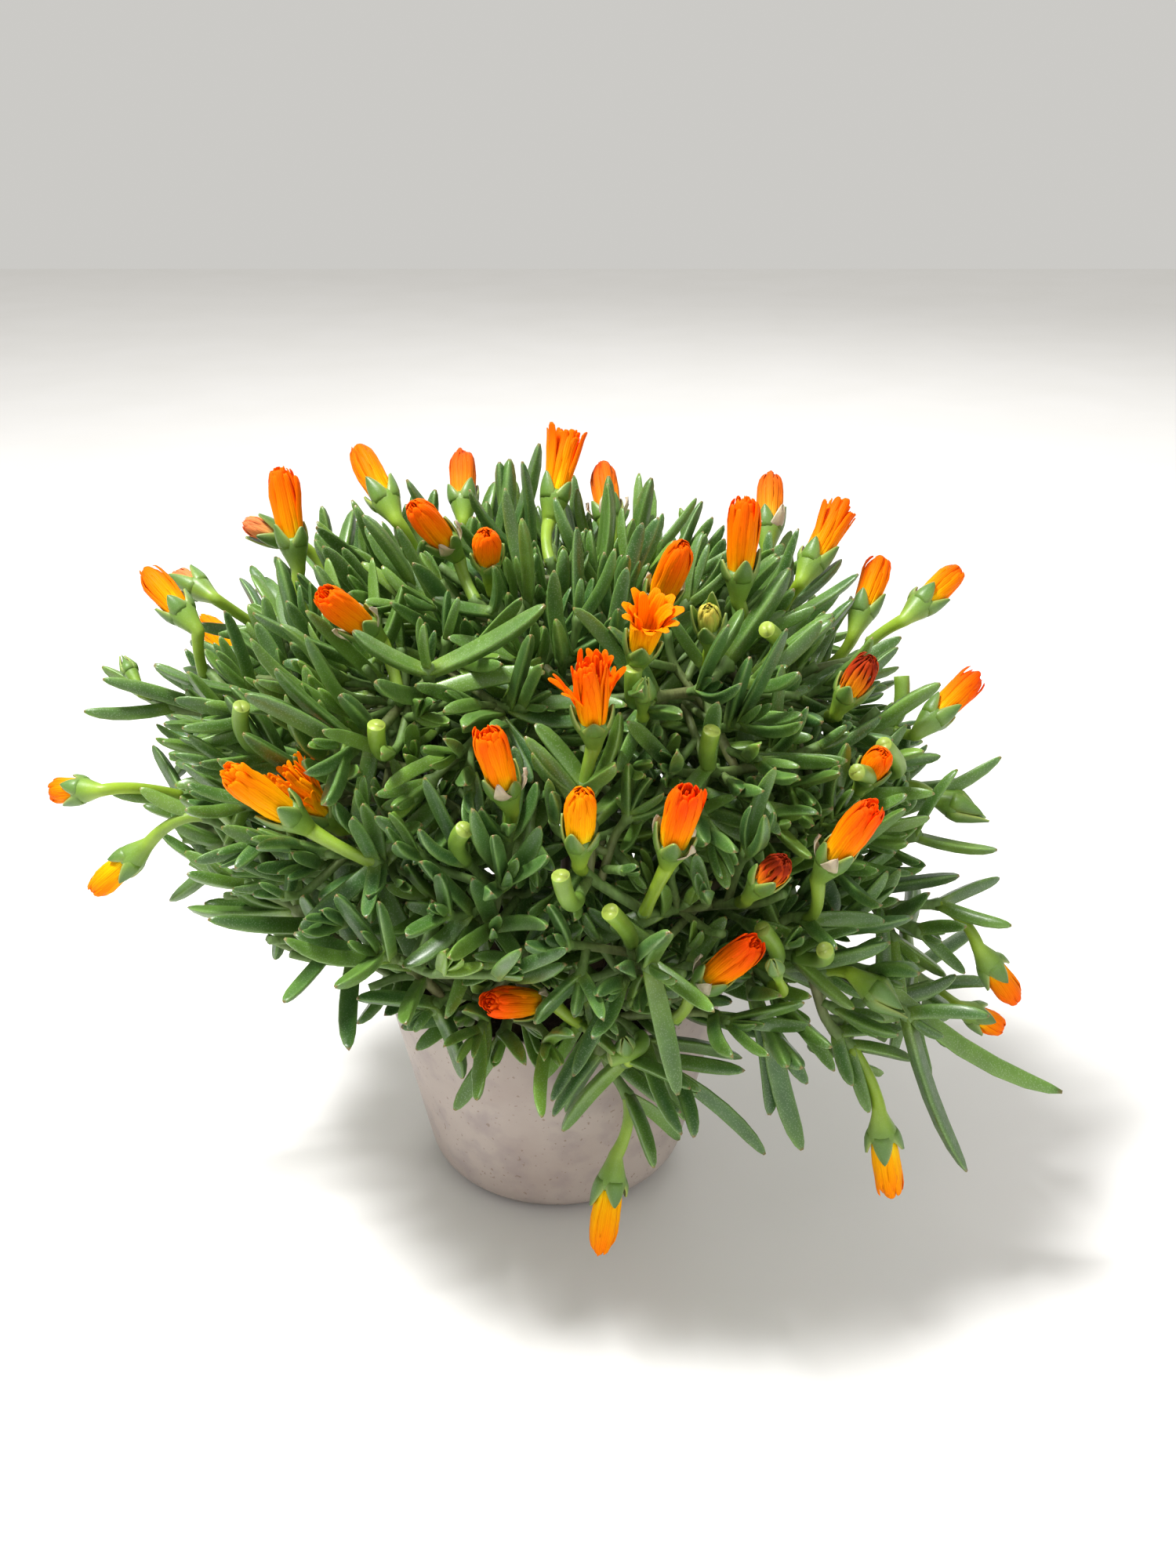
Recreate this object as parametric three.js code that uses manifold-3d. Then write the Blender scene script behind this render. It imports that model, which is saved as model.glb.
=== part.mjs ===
// A potted ice plant: a thin tapered pot full of soil, branching stems with succulent leaves in pairs,
// and orange blooms that are mostly closed. Millimetres, +Z up, origin at the middle of the pot's base.
// Front is -Y. Each stem is one solid with its leaves and calyxes, and each bloom's petals are another.
import * as THREE from "three";
import { mergeVertices } from "three/addons/utils/BufferGeometryUtils.js";
import Module from "manifold-3d";

const wasm = await Module();
wasm.setup();

const { degToRad } = THREE.MathUtils;
const vec = (x, y, z) => new THREE.Vector3(x, y, z);
const UP = vec(0, 0, 1);

// Sizes of the pot and its soil
const RIM_RADIUS = 55;
const POT_HEIGHT = 74;
const FOOT_RADIUS = 39; // where the straight wall would meet the ground
const FOOT_ROUNDING = 13;
const WALL = 1.5;
const ROUND_SIDES = 24;
const ARC_STEPS = 2; // a path gives twice as many straight stretches as this to each arc
const DRAIN_HOLES = 4;
const DRAIN_RADIUS = 4;
const DRAIN_RING = 16;
const DRAIN_SIDES = 8;
const GAP = 0.3; // between pieces that touch
const SOIL_EDGE = 65; // height of the soil at the wall
const SOIL_CROWN = 68; // and at the middle
const CROWN_SHARE = 0.45; // of the rim's radius, over which the soil is level
const HOLE_RADIUS = 3.4; // of the hole in the soil round each stem
const HOLE_FLOOR = 53;
const HOLE_SIDES = 6;

// Sizes of stems, leaves and blooms
const STEM_RADIUS = 2.6;
const STEM_SIDES = 5;
const STEM_RISE = 4; // how far it comes straight out of the soil
const SHOOT_SIDES = 4;
const SHOOT_RADIUS = 1.9;
const SHOOT_START = 1.1; // where it begins inside another's wood
const NODE_RADIUS = 3; // the joint where a pair of leaves grows out
const NODE_HALF = 2.2; // half its length
const NODE_BACK = 2.4; // how far the last node's middle is from a shoot's end
const LEAF_WIDTH = 6.2;
const LEAF_DEPTH = 4.8;
const KEEL_WIDTH = 1.6;
const KEEL_SHARE = 0.6; // share of the depth that lies below the middle line
const LEAF_SHOULDER = 0.7; // share of the length at which the leaf starts to taper
const LEAF_CURL = degToRad(14); // how much the tip turns back towards the stem
const PEDUNCLE_RADIUS = 1.6;
const RECEPTACLE_LENGTH = 9;
const CALYX_RADIUS = 5.8;
const CALYX_BELT = -2; // height of its widest ring above the mouth
const BLOOM_MOUTH = 0.95; // the mouth's radius as a share of the calyx's
const BUD_MOUTH = 0.4;
const SEPAL_LENGTHS = [7, 4.5, 6, 8];
const SEPAL_NOTCH = 0.5; // height between two sepals
const FUNNEL_FLOOR = -2; // height of the floor of the calyx's funnel
const PETAL_LIFT = 0.8; // along the bloom's axis, which leaves a thinner gap across the funnel's slope
const PETAL_RADIUS = 5.2;
const PETAL_LENGTH = 20;
const PETAL_FLUTE = 0.84; // radius between two petals as a share of the radius on them
const BUD_LENGTH = 8;
const STUB_RADIUS = 2.3;
const TIP_LENGTH = 3; // of the point that ends a shoot without a bloom

// Clearances, as radii round the middle line of each kind of limb
const LEAF_ROOM = 3.5;
const TIP_ROOM = 2.6;
const CALYX_ROOM = 6.3;
const PETAL_ROOM = 5.6;
const GROUND_ROOM = 4;

// The crown of leaves is about an ellipsoid
const CROWN_CENTRE = vec(-4, -2, 118);
const CROWN_RADII = vec(124, 108, 96);
const MOUTH_SWELL = 0.98; // how far out on the crown the mouths of the blooms are
const ROOT_SWELL = 0.84; // and where their stalks start
const TIP_SWELL = 0.84; // and the ends of the shoots that only bear leaves
const ROOT_SET_BACK = 8; // a stalk's start is this much further back than its bloom
const REAR_LIFT = 0.3; // how much a bloom at the back turns up

// The photograph's viewpoint, for places read from it as pixels of its 1500 x 2000 frame
const EYE = vec(10, -471, 346);
const PITCH = degToRad(24.6);
const FOCAL = 2200;
const FRAME_MIDDLE = { u: 750, v: 1000 };

// One bloom as the photograph shows it: petal tip, calyx mouth, and where its stalk leaves the leaves.
// push moves it away from the eye, depth sets how far back it stands instead of the crown's surface,
// and size is the length of its petals against a full-grown one.
const bloom = (tip, mouth, root, more = {}) => ({ tip, mouth, root, push: 0, size: 1, ...more });
const BLOOMS = [
  bloom([185, 728], [229, 778], [254, 858], { size: 0.85 }),
  bloom([219, 728], [250, 748], [331, 801], { push: 14, size: 0.6 }),
  bloom([300, 662], [350, 682], [415, 732], { push: 16, size: 0.5 }),
  bloom([355, 598], [373, 688], [391, 794]),
  bloom([455, 571], [490, 635], [537, 718]),
  bloom([527, 644], [566, 690], [601, 762], { size: 0.85 }),
  bloom([410, 756], [462, 798], [508, 887], { size: 0.9 }),
  bloom([590, 577], [591, 635], [591, 692], { push: 10, size: 0.8 }),
  bloom([620, 680], [622, 712], [626, 750], { size: 0.6 }),
  bloom([725, 549], [708, 630], [700, 711]),
  bloom([768, 592], [776, 655], [767, 720], { push: 16, size: 0.85 }),
  bloom([872, 695], [842, 762], [818, 829], { push: 14 }),
  bloom([832, 775], [818, 825], [806, 868], { push: -8, size: 0.75 }),
  bloom([950, 637], [944, 728], [955, 802], { push: -8 }),
  bloom([983, 606], [980, 670], [984, 740], { push: 20, size: 0.9 }),
  bloom([1075, 645], [1038, 713], [1001, 770], { size: 1 }),
  bloom([1124, 713], [1101, 776], [1057, 851], { push: 10, size: 0.85 }),
  bloom([1222, 728], [1178, 768], [1110, 816], { size: 0.8 }),
  bloom([1117, 830], [1085, 880], [1064, 911], { size: 0.75 }),
  bloom([1246, 862], [1194, 912], [1148, 932], { size: 0.9 }),
  bloom([752, 840], [756, 918], [744, 995], { push: -6 }),
  bloom([620, 930], [642, 1000], [649, 1050], { size: 0.9 }),
  bloom([741, 1010], [740, 1067], [738, 1105], { size: 0.75 }),
  bloom([878, 1005], [859, 1075], [820, 1165]),
  bloom([1114, 1026], [1064, 1093], [1037, 1175]),
  bloom([1007, 1091], [976, 1122], [950, 1150], { push: 8, size: 0.6 }),
  bloom([69, 1008], [101, 1008], [225, 1012], { size: 0.5 }),
  bloom([120, 1136], [165, 1097], [254, 1037], { size: 0.8 }),
  bloom([289, 983], [364, 1036], [477, 1101]),
  bloom([356, 985], [409, 1034], [461, 1053], { push: 30, size: 0.9 }),
  bloom([623, 1279], [680, 1278], [738, 1311], { depth: -76 }),
  bloom([965, 1202], [907, 1248], [865, 1302], { depth: -84 }),
  bloom([1127, 960], [1110, 985], [1095, 1010], { push: 6, size: 0.5 }),
  bloom([1294, 1275], [1265, 1233], [1206, 1153], { depth: -30, size: 0.75 }),
  bloom([1136, 1520], [1126, 1450], [1091, 1341], { depth: -68 }),
  bloom([765, 1596], [779, 1512], [806, 1405], { depth: -72 }),
  bloom([1276, 1311], [1245, 1295], [1195, 1262], { depth: -12, size: 0.6 }),
  bloom([903, 768], [905, 800], [900, 840], { size: 0.5 }),
];

// Blooms on the side that the photograph doesn't show, by compass direction and height on the crown
const REAR_BLOOMS = [
  { azimuth: 48, elevation: 14, size: 1 },
  { azimuth: 84, elevation: 34, size: 0.85 },
  { azimuth: 112, elevation: 2, size: 1 },
  { azimuth: 150, elevation: 22, size: 0.9 },
];

// Green buds whose petals don't show yet, and stalks cut off below a faded bloom
const GREEN_BUDS = [
  bloom([1267, 1045], [1222, 1028], [1163, 996], { depth: -10 }),
  bloom([1160, 1295], [1121, 1267], [1064, 1240], { depth: -70 }),
];
const CUT_STALKS = [
  bloom([908, 932], [908, 932], [903, 975]),
  bloom([778, 1163], [778, 1163], [805, 1200]),
  bloom([715, 1117], [715, 1117], [735, 1150], { push: -8 }),
  bloom([972, 1185], [972, 1185], [975, 1230], { push: 14 }),
  bloom([1150, 863], [1150, 863], [1127, 928]),
  bloom([308, 901], [308, 901], [331, 960]),
  bloom([778, 1350], [778, 1350], [820, 1325], { depth: -80 }),
];

// Shoots that only bear leaves: the places of their ends along the crown's outline
const LEAFY_ENDS = [
  [650, 672],
  [560, 722],
  [470, 765],
  [350, 790],
  [262, 852],
  [212, 900],
  [830, 765],
  [1042, 848],
  [1120, 905],
  [1175, 1062],
  [1180, 1190],
  [375, 1080],
  [480, 1215],
];

// The longest leaves, from the stem to the tip
const longLeaf = (root, tip, depth) => ({ root, tip, depth });
const LONG_LEAVES = [
  longLeaf([1120, 1245], [1360, 1395], -62),
  longLeaf([1165, 1300], [1235, 1498], -66),
  longLeaf([985, 1325], [1024, 1470], -78),
  longLeaf([832, 1235], [865, 1400], -96),
  longLeaf([865, 1375], [978, 1475], -72),
  longLeaf([545, 850], [697, 770], -60),
  longLeaf([430, 950], [310, 885], -70),
  longLeaf([470, 840], [320, 780], -30),
  longLeaf([285, 1080], [215, 1150], -20),
  longLeaf([548, 1290], [590, 1378], -70),
  longLeaf([640, 1330], [578, 1418], -72),
  longLeaf([800, 1360], [716, 1445], -76),
  longLeaf([754, 775], [776, 603], 10),
  longLeaf([350, 1175], [350, 1225], -20),
];

// A repeatable draw from 0 to 1 for choice n about one shoot.
function draw(shoot, n) {
  let bits = Math.imul(shoot + 1, 0x9e3779b1) ^ Math.imul(n + 1, 0x85ebca6b);
  bits = Math.imul(bits ^ (bits >>> 15), 0x2c1b3c6d);
  bits = Math.imul(bits ^ (bits >>> 12), 0x297a2d39);
  return ((bits ^ (bits >>> 15)) >>> 0) / 2 ** 32;
}

// Which draw each choice about a shoot starts from
const DRAWS = { elbowX: 20, elbowY: 50, petals: 80, turn: 90, angle: 91, length: 95 };

const between = (low, high, share) => low + (high - low) * share;

// The direction in which the eye sees a pixel of the photograph.
function sightLine([u, v]) {
  const forward = vec(0, Math.cos(PITCH), -Math.sin(PITCH));
  const upward = vec(0, Math.sin(PITCH), Math.cos(PITCH));
  return forward
    .multiplyScalar(FOCAL)
    .addScaledVector(vec(1, 0, 0), u - FRAME_MIDDLE.u)
    .addScaledVector(upward, FRAME_MIDDLE.v - v)
    .normalize();
}

// The point of the crown, swollen or shrunk by a factor, that a pixel shows; a sight line that misses
// the crown gives the point where it passes closest.
function onCrown(pixel, swell, push) {
  const line = sightLine(pixel);
  const start = EYE.clone().sub(CROWN_CENTRE).divide(CROWN_RADII);
  const way = line.clone().divide(CROWN_RADII);
  const nearest = -start.dot(way) / way.lengthSq();
  const miss = start.clone().addScaledVector(way, nearest).length();
  const half = miss < swell ? Math.sqrt(swell * swell - miss * miss) / way.length() : 0;
  return EYE.clone().addScaledVector(line, nearest - half + push);
}

// The point that a pixel shows on the upright plane at a given depth.
function atDepth(pixel, depth) {
  const line = sightLine(pixel);
  return EYE.clone().addScaledVector(line, (depth - EYE.y) / line.y);
}

const outward = (point) => point.clone().sub(CROWN_CENTRE).divide(CROWN_RADII).normalize();

// The point on a pixel's sight line at a given distance from another point, on the side that faces out.
function alongSight(pixel, from, distance) {
  const line = sightLine(pixel);
  const foot = EYE.clone().addScaledVector(line, from.clone().sub(EYE).dot(line));
  const short = foot.distanceTo(from);
  const slide = short < distance ? Math.sqrt(distance * distance - short * short) : 0;
  return foot.addScaledVector(line, outward(from).dot(line) < 0 ? -slide : slide);
}

// A bloom's places in space from its row of pixels.
function placeBloom(row, length) {
  const flat = row.depth !== undefined;
  const mouth = flat ? atDepth(row.mouth, row.depth) : onCrown(row.mouth, MOUTH_SWELL, row.push);
  const root = flat ? atDepth(row.root, row.depth + ROOT_SET_BACK) : onCrown(row.root, ROOT_SWELL, row.push);
  const tip = alongSight(row.tip, mouth, length * row.size);
  return { mouth, root, tip, size: row.size };
}

// A bloom's places from a compass direction and a height on the crown.
function placeRearBloom({ azimuth, elevation, size }) {
  const turn = degToRad(azimuth);
  const rise = degToRad(elevation);
  const way = vec(Math.cos(rise) * Math.cos(turn), Math.cos(rise) * Math.sin(turn), Math.sin(rise));
  const onShell = (swell) => way.clone().multiply(CROWN_RADII).multiplyScalar(swell).add(CROWN_CENTRE);
  const mouth = onShell(MOUTH_SWELL);
  const aim = way.clone().addScaledVector(UP, REAR_LIFT).normalize();
  const tip = mouth.clone().addScaledVector(aim, PETAL_LENGTH * size);
  return { mouth, root: onShell(ROOT_SWELL), tip, size };
}

// A solid from a closed geometry.
function solidFrom(geometry) {
  geometry.deleteAttribute("normal");
  geometry.deleteAttribute("uv");
  const merged = mergeVertices(geometry, 1e-4);
  return new wasm.Manifold(
    new wasm.Mesh({
      numProp: 3,
      vertProperties: merged.attributes.position.array,
      triVerts: new Uint32Array(merged.index.array),
    }),
  );
}

// A closed surface that is built up from rings of points. A ring runs anticlockwise as its axis comes
// towards the eye, and each new ring lies further along that axis.
class Skin {
  points = [];
  faces = [];

  add(points) {
    this.points.push(...points);
    return points.map((_, i) => this.points.length - points.length + i);
  }

  // Joins a ring to the next one of as many points, apart from the sides that are left open.
  bridge(lower, upper, open = []) {
    lower.forEach((corner, i) => {
      const next = (i + 1) % lower.length;
      if (open.includes(i)) return;
      this.faces.push([corner, lower[next], upper[next]], [corner, upper[next], upper[i]]);
    });
  }

  // Joins a ring to the next one of twice as many points.
  widen(lower, upper) {
    lower.forEach((corner, i) => {
      const next = lower[(i + 1) % lower.length];
      const middle = upper[2 * i + 1];
      const far = upper[(2 * i + 2) % upper.length];
      this.faces.push([corner, next, middle], [corner, middle, upper[2 * i]], [next, far, middle]);
    });
  }

  // Closes the surface beyond a ring at one point.
  close(lower, point) {
    const [apex] = this.add([point]);
    lower.forEach((corner, i) => this.faces.push([corner, lower[(i + 1) % lower.length], apex]));
  }

  // Starts the surface with a ring that is closed by a point before it.
  open(ring, point) {
    const lower = this.add(ring);
    this.close([...lower].reverse(), point);
    return lower;
  }

  solid() {
    const geometry = new THREE.BufferGeometry().setFromPoints(this.points);
    geometry.setIndex(this.faces.flat());
    return solidFrom(geometry);
  }
}

// A solid through rings of as many points each, closed at a single point at either end.
function limb(start, rings, end) {
  const skin = new Skin();
  let lower = skin.open(rings[0], start);
  for (const next of rings.slice(1)) {
    const upper = skin.add(next);
    skin.bridge(lower, upper);
    lower = upper;
  }
  skin.close(lower, end);
  return skin.solid();
}

// A ring of points round an axis, the first of them on the side that is given. scale gives each point
// its own share of the radius, and rise its own height.
function ring(centre, axis, side, radius, sides, scale = () => 1, rise = () => 0) {
  const first = side.clone().addScaledVector(axis, -side.dot(axis)).normalize();
  const second = axis.clone().cross(first);
  return Array.from({ length: sides }, (_, i) => {
    const turn = (2 * Math.PI * i) / sides;
    return centre
      .clone()
      .addScaledVector(first, Math.cos(turn) * radius * scale(i))
      .addScaledVector(second, Math.sin(turn) * radius * scale(i))
      .addScaledVector(axis, rise(i));
  });
}

// Any direction across an axis.
const NEARLY_UPRIGHT = 0.9;
const sideOf = (axis) =>
  (Math.abs(axis.z) > NEARLY_UPRIGHT ? vec(1, 0, 0) : UP.clone()).cross(axis).normalize();

// Straight limbs that are in place already, each with the stem and shoot that it belongs to
const placed = [];

// The shortest distance between two straight stretches.
function distanceBetween(a, b, c, d) {
  const first = b.clone().sub(a);
  const second = d.clone().sub(c);
  const apart = a.clone().sub(c);
  const aa = first.lengthSq();
  const bb = second.lengthSq();
  const ab = first.dot(second);
  const ac = first.dot(apart);
  const bc = second.dot(apart);
  const spread = aa * bb - ab * ab;
  const clamp = (x) => Math.min(Math.max(x, 0), 1);
  let s = spread > Number.EPSILON ? clamp((ab * bc - ac * bb) / spread) : 0;
  const t = clamp((ab * s + bc) / bb);
  s = clamp((ab * t - ac) / aa);
  return a.clone().addScaledVector(first, s).distanceTo(c.clone().addScaledVector(second, t));
}

const WALL_SLOPE = (RIM_RADIUS - FOOT_RADIUS) / POT_HEIGHT;
const potRadiusAt = (height) => FOOT_RADIUS + WALL_SLOPE * height;

// How far a limb stays off the ground, the pot and the soil.
const LOOK_SHARES = [0, 0.25, 0.5, 0.75, 1];
function roomFromPot(from, to, radius) {
  let least = Infinity;
  for (const share of LOOK_SHARES) {
    const point = from.clone().lerp(to, share);
    const reach = Math.hypot(point.x, point.y);
    const over = point.z - POT_HEIGHT;
    const beside = reach - potRadiusAt(Math.max(point.z, 0));
    const inside = Math.min(RIM_RADIUS - WALL - reach, point.z - SOIL_CROWN);
    least = Math.min(least, Math.max(over, beside, inside) - radius, point.z - GROUND_ROOM - radius);
  }
  return least;
}

// The least room that a line of stretches has to all that is placed, apart from the same shoot's limbs.
// Wood may join the wood of its own stem.
function roomFor(stretches, stem, shoot, isWood = false) {
  let least = Infinity;
  for (const { from, to, radius } of stretches) {
    least = Math.min(least, roomFromPot(from, to, radius) - GAP);
    for (const other of placed) {
      if (other.shoot === shoot || (isWood && other.isWood && other.stem === stem)) continue;
      const apart = distanceBetween(from, to, other.from, other.to) - radius - other.radius;
      least = Math.min(least, apart - GAP);
    }
  }
  return least;
}

// Stretches of a line of points, with a radius for each.
const stretchesOf = (points, radii) =>
  points.slice(1).map((to, i) => ({ from: points[i], to, radius: radii[i] }));

function put(stretches, stem, shoot, isWood = false) {
  for (const stretch of stretches) placed.push({ ...stretch, stem, shoot, isWood });
}

// A round stem along a line of points, with a radius at each.
function stalk(points, radii, sides) {
  const axes = points.map((_, i) => {
    const before = points[Math.max(i - 1, 0)];
    const after = points[Math.min(i + 1, points.length - 1)];
    return after.clone().sub(before).normalize();
  });
  const side = sideOf(axes[0]);
  const rings = points.map((point, i) => ring(point, axes[i], side, radii[i], sides));
  return limb(points[0], rings, points.at(-1));
}

// Main stems: one in the middle, five round it and ten near the wall, with the way that each one grows
const STEM_RINGS = [
  { count: 1, hole: 0, fork: 3, height: 100, elevation: 90, start: 0 },
  { count: 5, hole: 19, fork: 28, height: 98, elevation: 48, start: 18 },
  { count: 10, hole: 38, fork: 45, height: 90, elevation: 4, start: 0 },
];

function makeStems() {
  const stems = [];
  for (const { count, hole, fork, height, elevation, start } of STEM_RINGS) {
    for (let i = 0; i < count; i++) {
      const turn = degToRad(start + (360 * i) / count);
      const way = vec(Math.cos(turn), Math.sin(turn), 0);
      const rise = degToRad(elevation);
      const foot = way.clone().multiplyScalar(hole).setZ(HOLE_FLOOR + GAP);
      const line = [
        foot,
        foot.clone().setZ(SOIL_CROWN + STEM_RISE),
        way.clone().multiplyScalar(fork).setZ(height),
      ];
      const home = way.clone().multiplyScalar(Math.cos(rise)).addScaledVector(UP, Math.sin(rise));
      put(stretchesOf(line, [STEM_RADIUS, STEM_RADIUS]), stems.length, -1, true);
      const wood = stalk(line, [STEM_RADIUS, STEM_RADIUS, SHOOT_RADIUS], STEM_SIDES);
      stems.push({ line, home, parts: [wood] });
    }
  }
  return stems;
}

const GROWTH_CENTRE = vec(0, 0, 78);

// The stem that a point of the crown belongs to.
function stemFor(point, stems) {
  const way = point.clone().sub(GROWTH_CENTRE).normalize();
  const nearness = stems.map(({ home }) => home.dot(way));
  return nearness.indexOf(Math.max(...nearness));
}

// The places on a stem's wood where a new shoot can start, nearest to its end first. A place counts as
// further away the less the way from there to the end leads outwards.
const BRANCH_SHARES = [0.3, 0.6, 0.9];
const NEAR_BRANCH = 24; // places nearer than this count as equally near
function branchPoints(index, end) {
  const way = outward(end);
  return placed
    .filter(({ stem, isWood, from }) => stem === index && isWood && from.z > SOIL_CROWN)
    .flatMap(({ from, to }) => BRANCH_SHARES.map((share) => from.clone().lerp(to, share)))
    .map((point) => {
      const reach = end.clone().sub(point);
      return { point, cost: Math.max(reach.length(), NEAR_BRANCH) * (2 - reach.normalize().dot(way)) };
    })
    .sort((a, b) => a.cost - b.cost)
    .map(({ point }) => point);
}

// The line of a shoot from its stem to where it ends, bent until it is clear of the other stems.
const SHOOT_TRIES = 24;
const TRIES_PER_START = 3;
const ELBOW_SHARE = 0.4; // share of the length that lies beyond the elbow
const ELBOW_LIFT = 5;
const LENGTHS_TO_BEND = [18, 50]; // a shoot longer than each of these gets one more bend
function shootLine(index, end, aim, shoot) {
  const starts = branchPoints(index, end);
  let best = { room: -Infinity };
  for (let attempt = 0; attempt < SHOOT_TRIES && best.room < 0; attempt++) {
    const start = starts[Math.min(Math.floor(attempt / TRIES_PER_START), starts.length - 1)];
    const length = start.distanceTo(end);
    const elbow = end.clone().addScaledVector(aim, -ELBOW_SHARE * length);
    elbow.z += ELBOW_LIFT * (attempt % TRIES_PER_START);
    elbow.x += between(-1, 1, draw(shoot, DRAWS.elbowX + attempt)) * attempt;
    elbow.y += between(-1, 1, draw(shoot, DRAWS.elbowY + attempt)) * attempt;
    const curve = new THREE.QuadraticBezierCurve3(start, elbow, end);
    const points = curve.getPoints(1 + LENGTHS_TO_BEND.filter((least) => length > least).length);
    const stretches = stretchesOf(points, points.map(() => SHOOT_RADIUS));
    const room = roomFor(stretches, index, shoot, true);
    if (room > best.room) best = { room, points, stretches };
  }
  put(best.stretches, index, shoot, true);
  return best.points;
}

// The point and direction at a distance back from the end of a line of points, or null past its start.
function backAlong(points, distance) {
  let left = distance;
  for (let i = points.length - 1; i > 0; i--) {
    const stretch = points[i].distanceTo(points[i - 1]);
    const axis = points[i].clone().sub(points[i - 1]).normalize();
    if (left < stretch) return { centre: points[i].clone().addScaledVector(axis, -left), axis };
    left -= stretch;
  }
  return null;
}

// How far back from the end of a line each of its bends is.
function bendsOf(points) {
  let back = 0;
  return points.slice(2).map((_, i) => {
    const last = points.length - 1 - i;
    back += points[last].distanceTo(points[last - 1]);
    return back;
  });
}

// The middle line of one leaf from its foot on the stem.
function leafLine(centre, axis, side, angle, length) {
  const way = (turn) => axis.clone().multiplyScalar(Math.cos(turn)).addScaledVector(side, Math.sin(turn));
  const shoulder = centre.clone().addScaledVector(way(angle), LEAF_SHOULDER * length);
  const tip = shoulder.clone().addScaledVector(way(angle - LEAF_CURL), (1 - LEAF_SHOULDER) * length);
  return [centre, shoulder, tip];
}

const leafStretches = (line, scale) => stretchesOf(line, [LEAF_ROOM * scale, TIP_ROOM * scale]);

// A node with a pair of leaves, turned and shortened until it is clear; none where no try is clear.
const PAIR_TRIES = 11;
const PAIR_TURN = degToRad(17);
const PAIR_SHRINK = 0.03; // share of the length that each further try gives up
const BEND_ROOM = 1.4 * NODE_HALF; // least distance of a node from a bend
function findPair({ stem, shoot, line }, { back: wish, turn, angle, length, scale }) {
  const bend = bendsOf(line).find((place) => Math.abs(place - wish) < BEND_ROOM);
  const back = bend ? bend + BEND_ROOM : wish;
  const at = backAlong(line, back);
  if (!at || !backAlong(line, back + 2 * NODE_HALF)) return null;
  const first = sideOf(at.axis);
  for (let attempt = 0; attempt < PAIR_TRIES; attempt++) {
    const swing = (attempt % 2 ? 1 : -1) * Math.ceil(attempt / 2) * PAIR_TURN;
    const side = first.clone().applyAxisAngle(at.axis, turn + swing);
    const size = length * (1 - PAIR_SHRINK * attempt);
    const lines = [side, side.clone().negate()].map((way) => leafLine(at.centre, at.axis, way, angle, size));
    const stretches = lines.flatMap((leaf) => leafStretches(leaf, scale));
    if (roomFor(stretches, stem, shoot) >= 0) {
      put(stretches, stem, shoot);
      return { ...at, back, side, lines, scale };
    }
  }
  return null;
}

// Grows a leaf out of one open side of a node: a keel below and a flat upper face towards the stem.
function addLeaf(skin, foot, [centre, shoulder, tip], { axis, scale }) {
  const along = shoulder.clone().sub(centre).normalize();
  const across = axis.clone().cross(along).normalize();
  const upper = along.clone().cross(across);
  const corner = (width, height) =>
    shoulder
      .clone()
      .addScaledVector(across, (width / 2) * scale)
      .addScaledVector(upper, height * scale);
  const section = skin.add([
    corner(-KEEL_WIDTH, -KEEL_SHARE * LEAF_DEPTH),
    corner(KEEL_WIDTH, -KEEL_SHARE * LEAF_DEPTH),
    corner(LEAF_WIDTH, (1 - KEEL_SHARE) * LEAF_DEPTH),
    corner(-LEAF_WIDTH, (1 - KEEL_SHARE) * LEAF_DEPTH),
  ]);
  skin.bridge(foot, section);
  skin.close(section, tip);
}

const neckOf = ({ mouth, tip }) => mouth.clone().lerp(tip, -RECEPTACLE_LENGTH / mouth.distanceTo(tip));
const CALYX_SIDES = 2 * SEPAL_LENGTHS.length;
const LEAST_GIRTH = 0.75; // of the smallest bloom, as a share of a full-grown one's
const girthOf = ({ size }) => between(LEAST_GIRTH, 1, size);
const sepalRise = (girth) => (i) => (i % 2 ? SEPAL_NOTCH : SEPAL_LENGTHS[i / 2] * girth);

// Ends a skin in a calyx: a club that swells from the stalk to unequal sepals round a funnel.
function addCalyx(skin, lower, site, side) {
  const { mouth, tip, kind } = site;
  const axis = tip.clone().sub(mouth).normalize();
  const girth = girthOf(site);
  const radius = CALYX_RADIUS * girth;
  const belt = mouth.clone().addScaledVector(axis, CALYX_BELT);
  const wide = skin.add(ring(belt, axis, side, radius, CALYX_SIDES));
  const mouthRadius = radius * (kind === "bud" ? BUD_MOUTH : BLOOM_MOUTH);
  const rim = skin.add(ring(mouth, axis, side, mouthRadius, CALYX_SIDES, undefined, sepalRise(girth)));
  skin.widen(lower, wide);
  skin.bridge(wide, rim);
  skin.close(rim, mouth.clone().addScaledVector(axis, FUNNEL_FLOOR));
}

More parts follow.
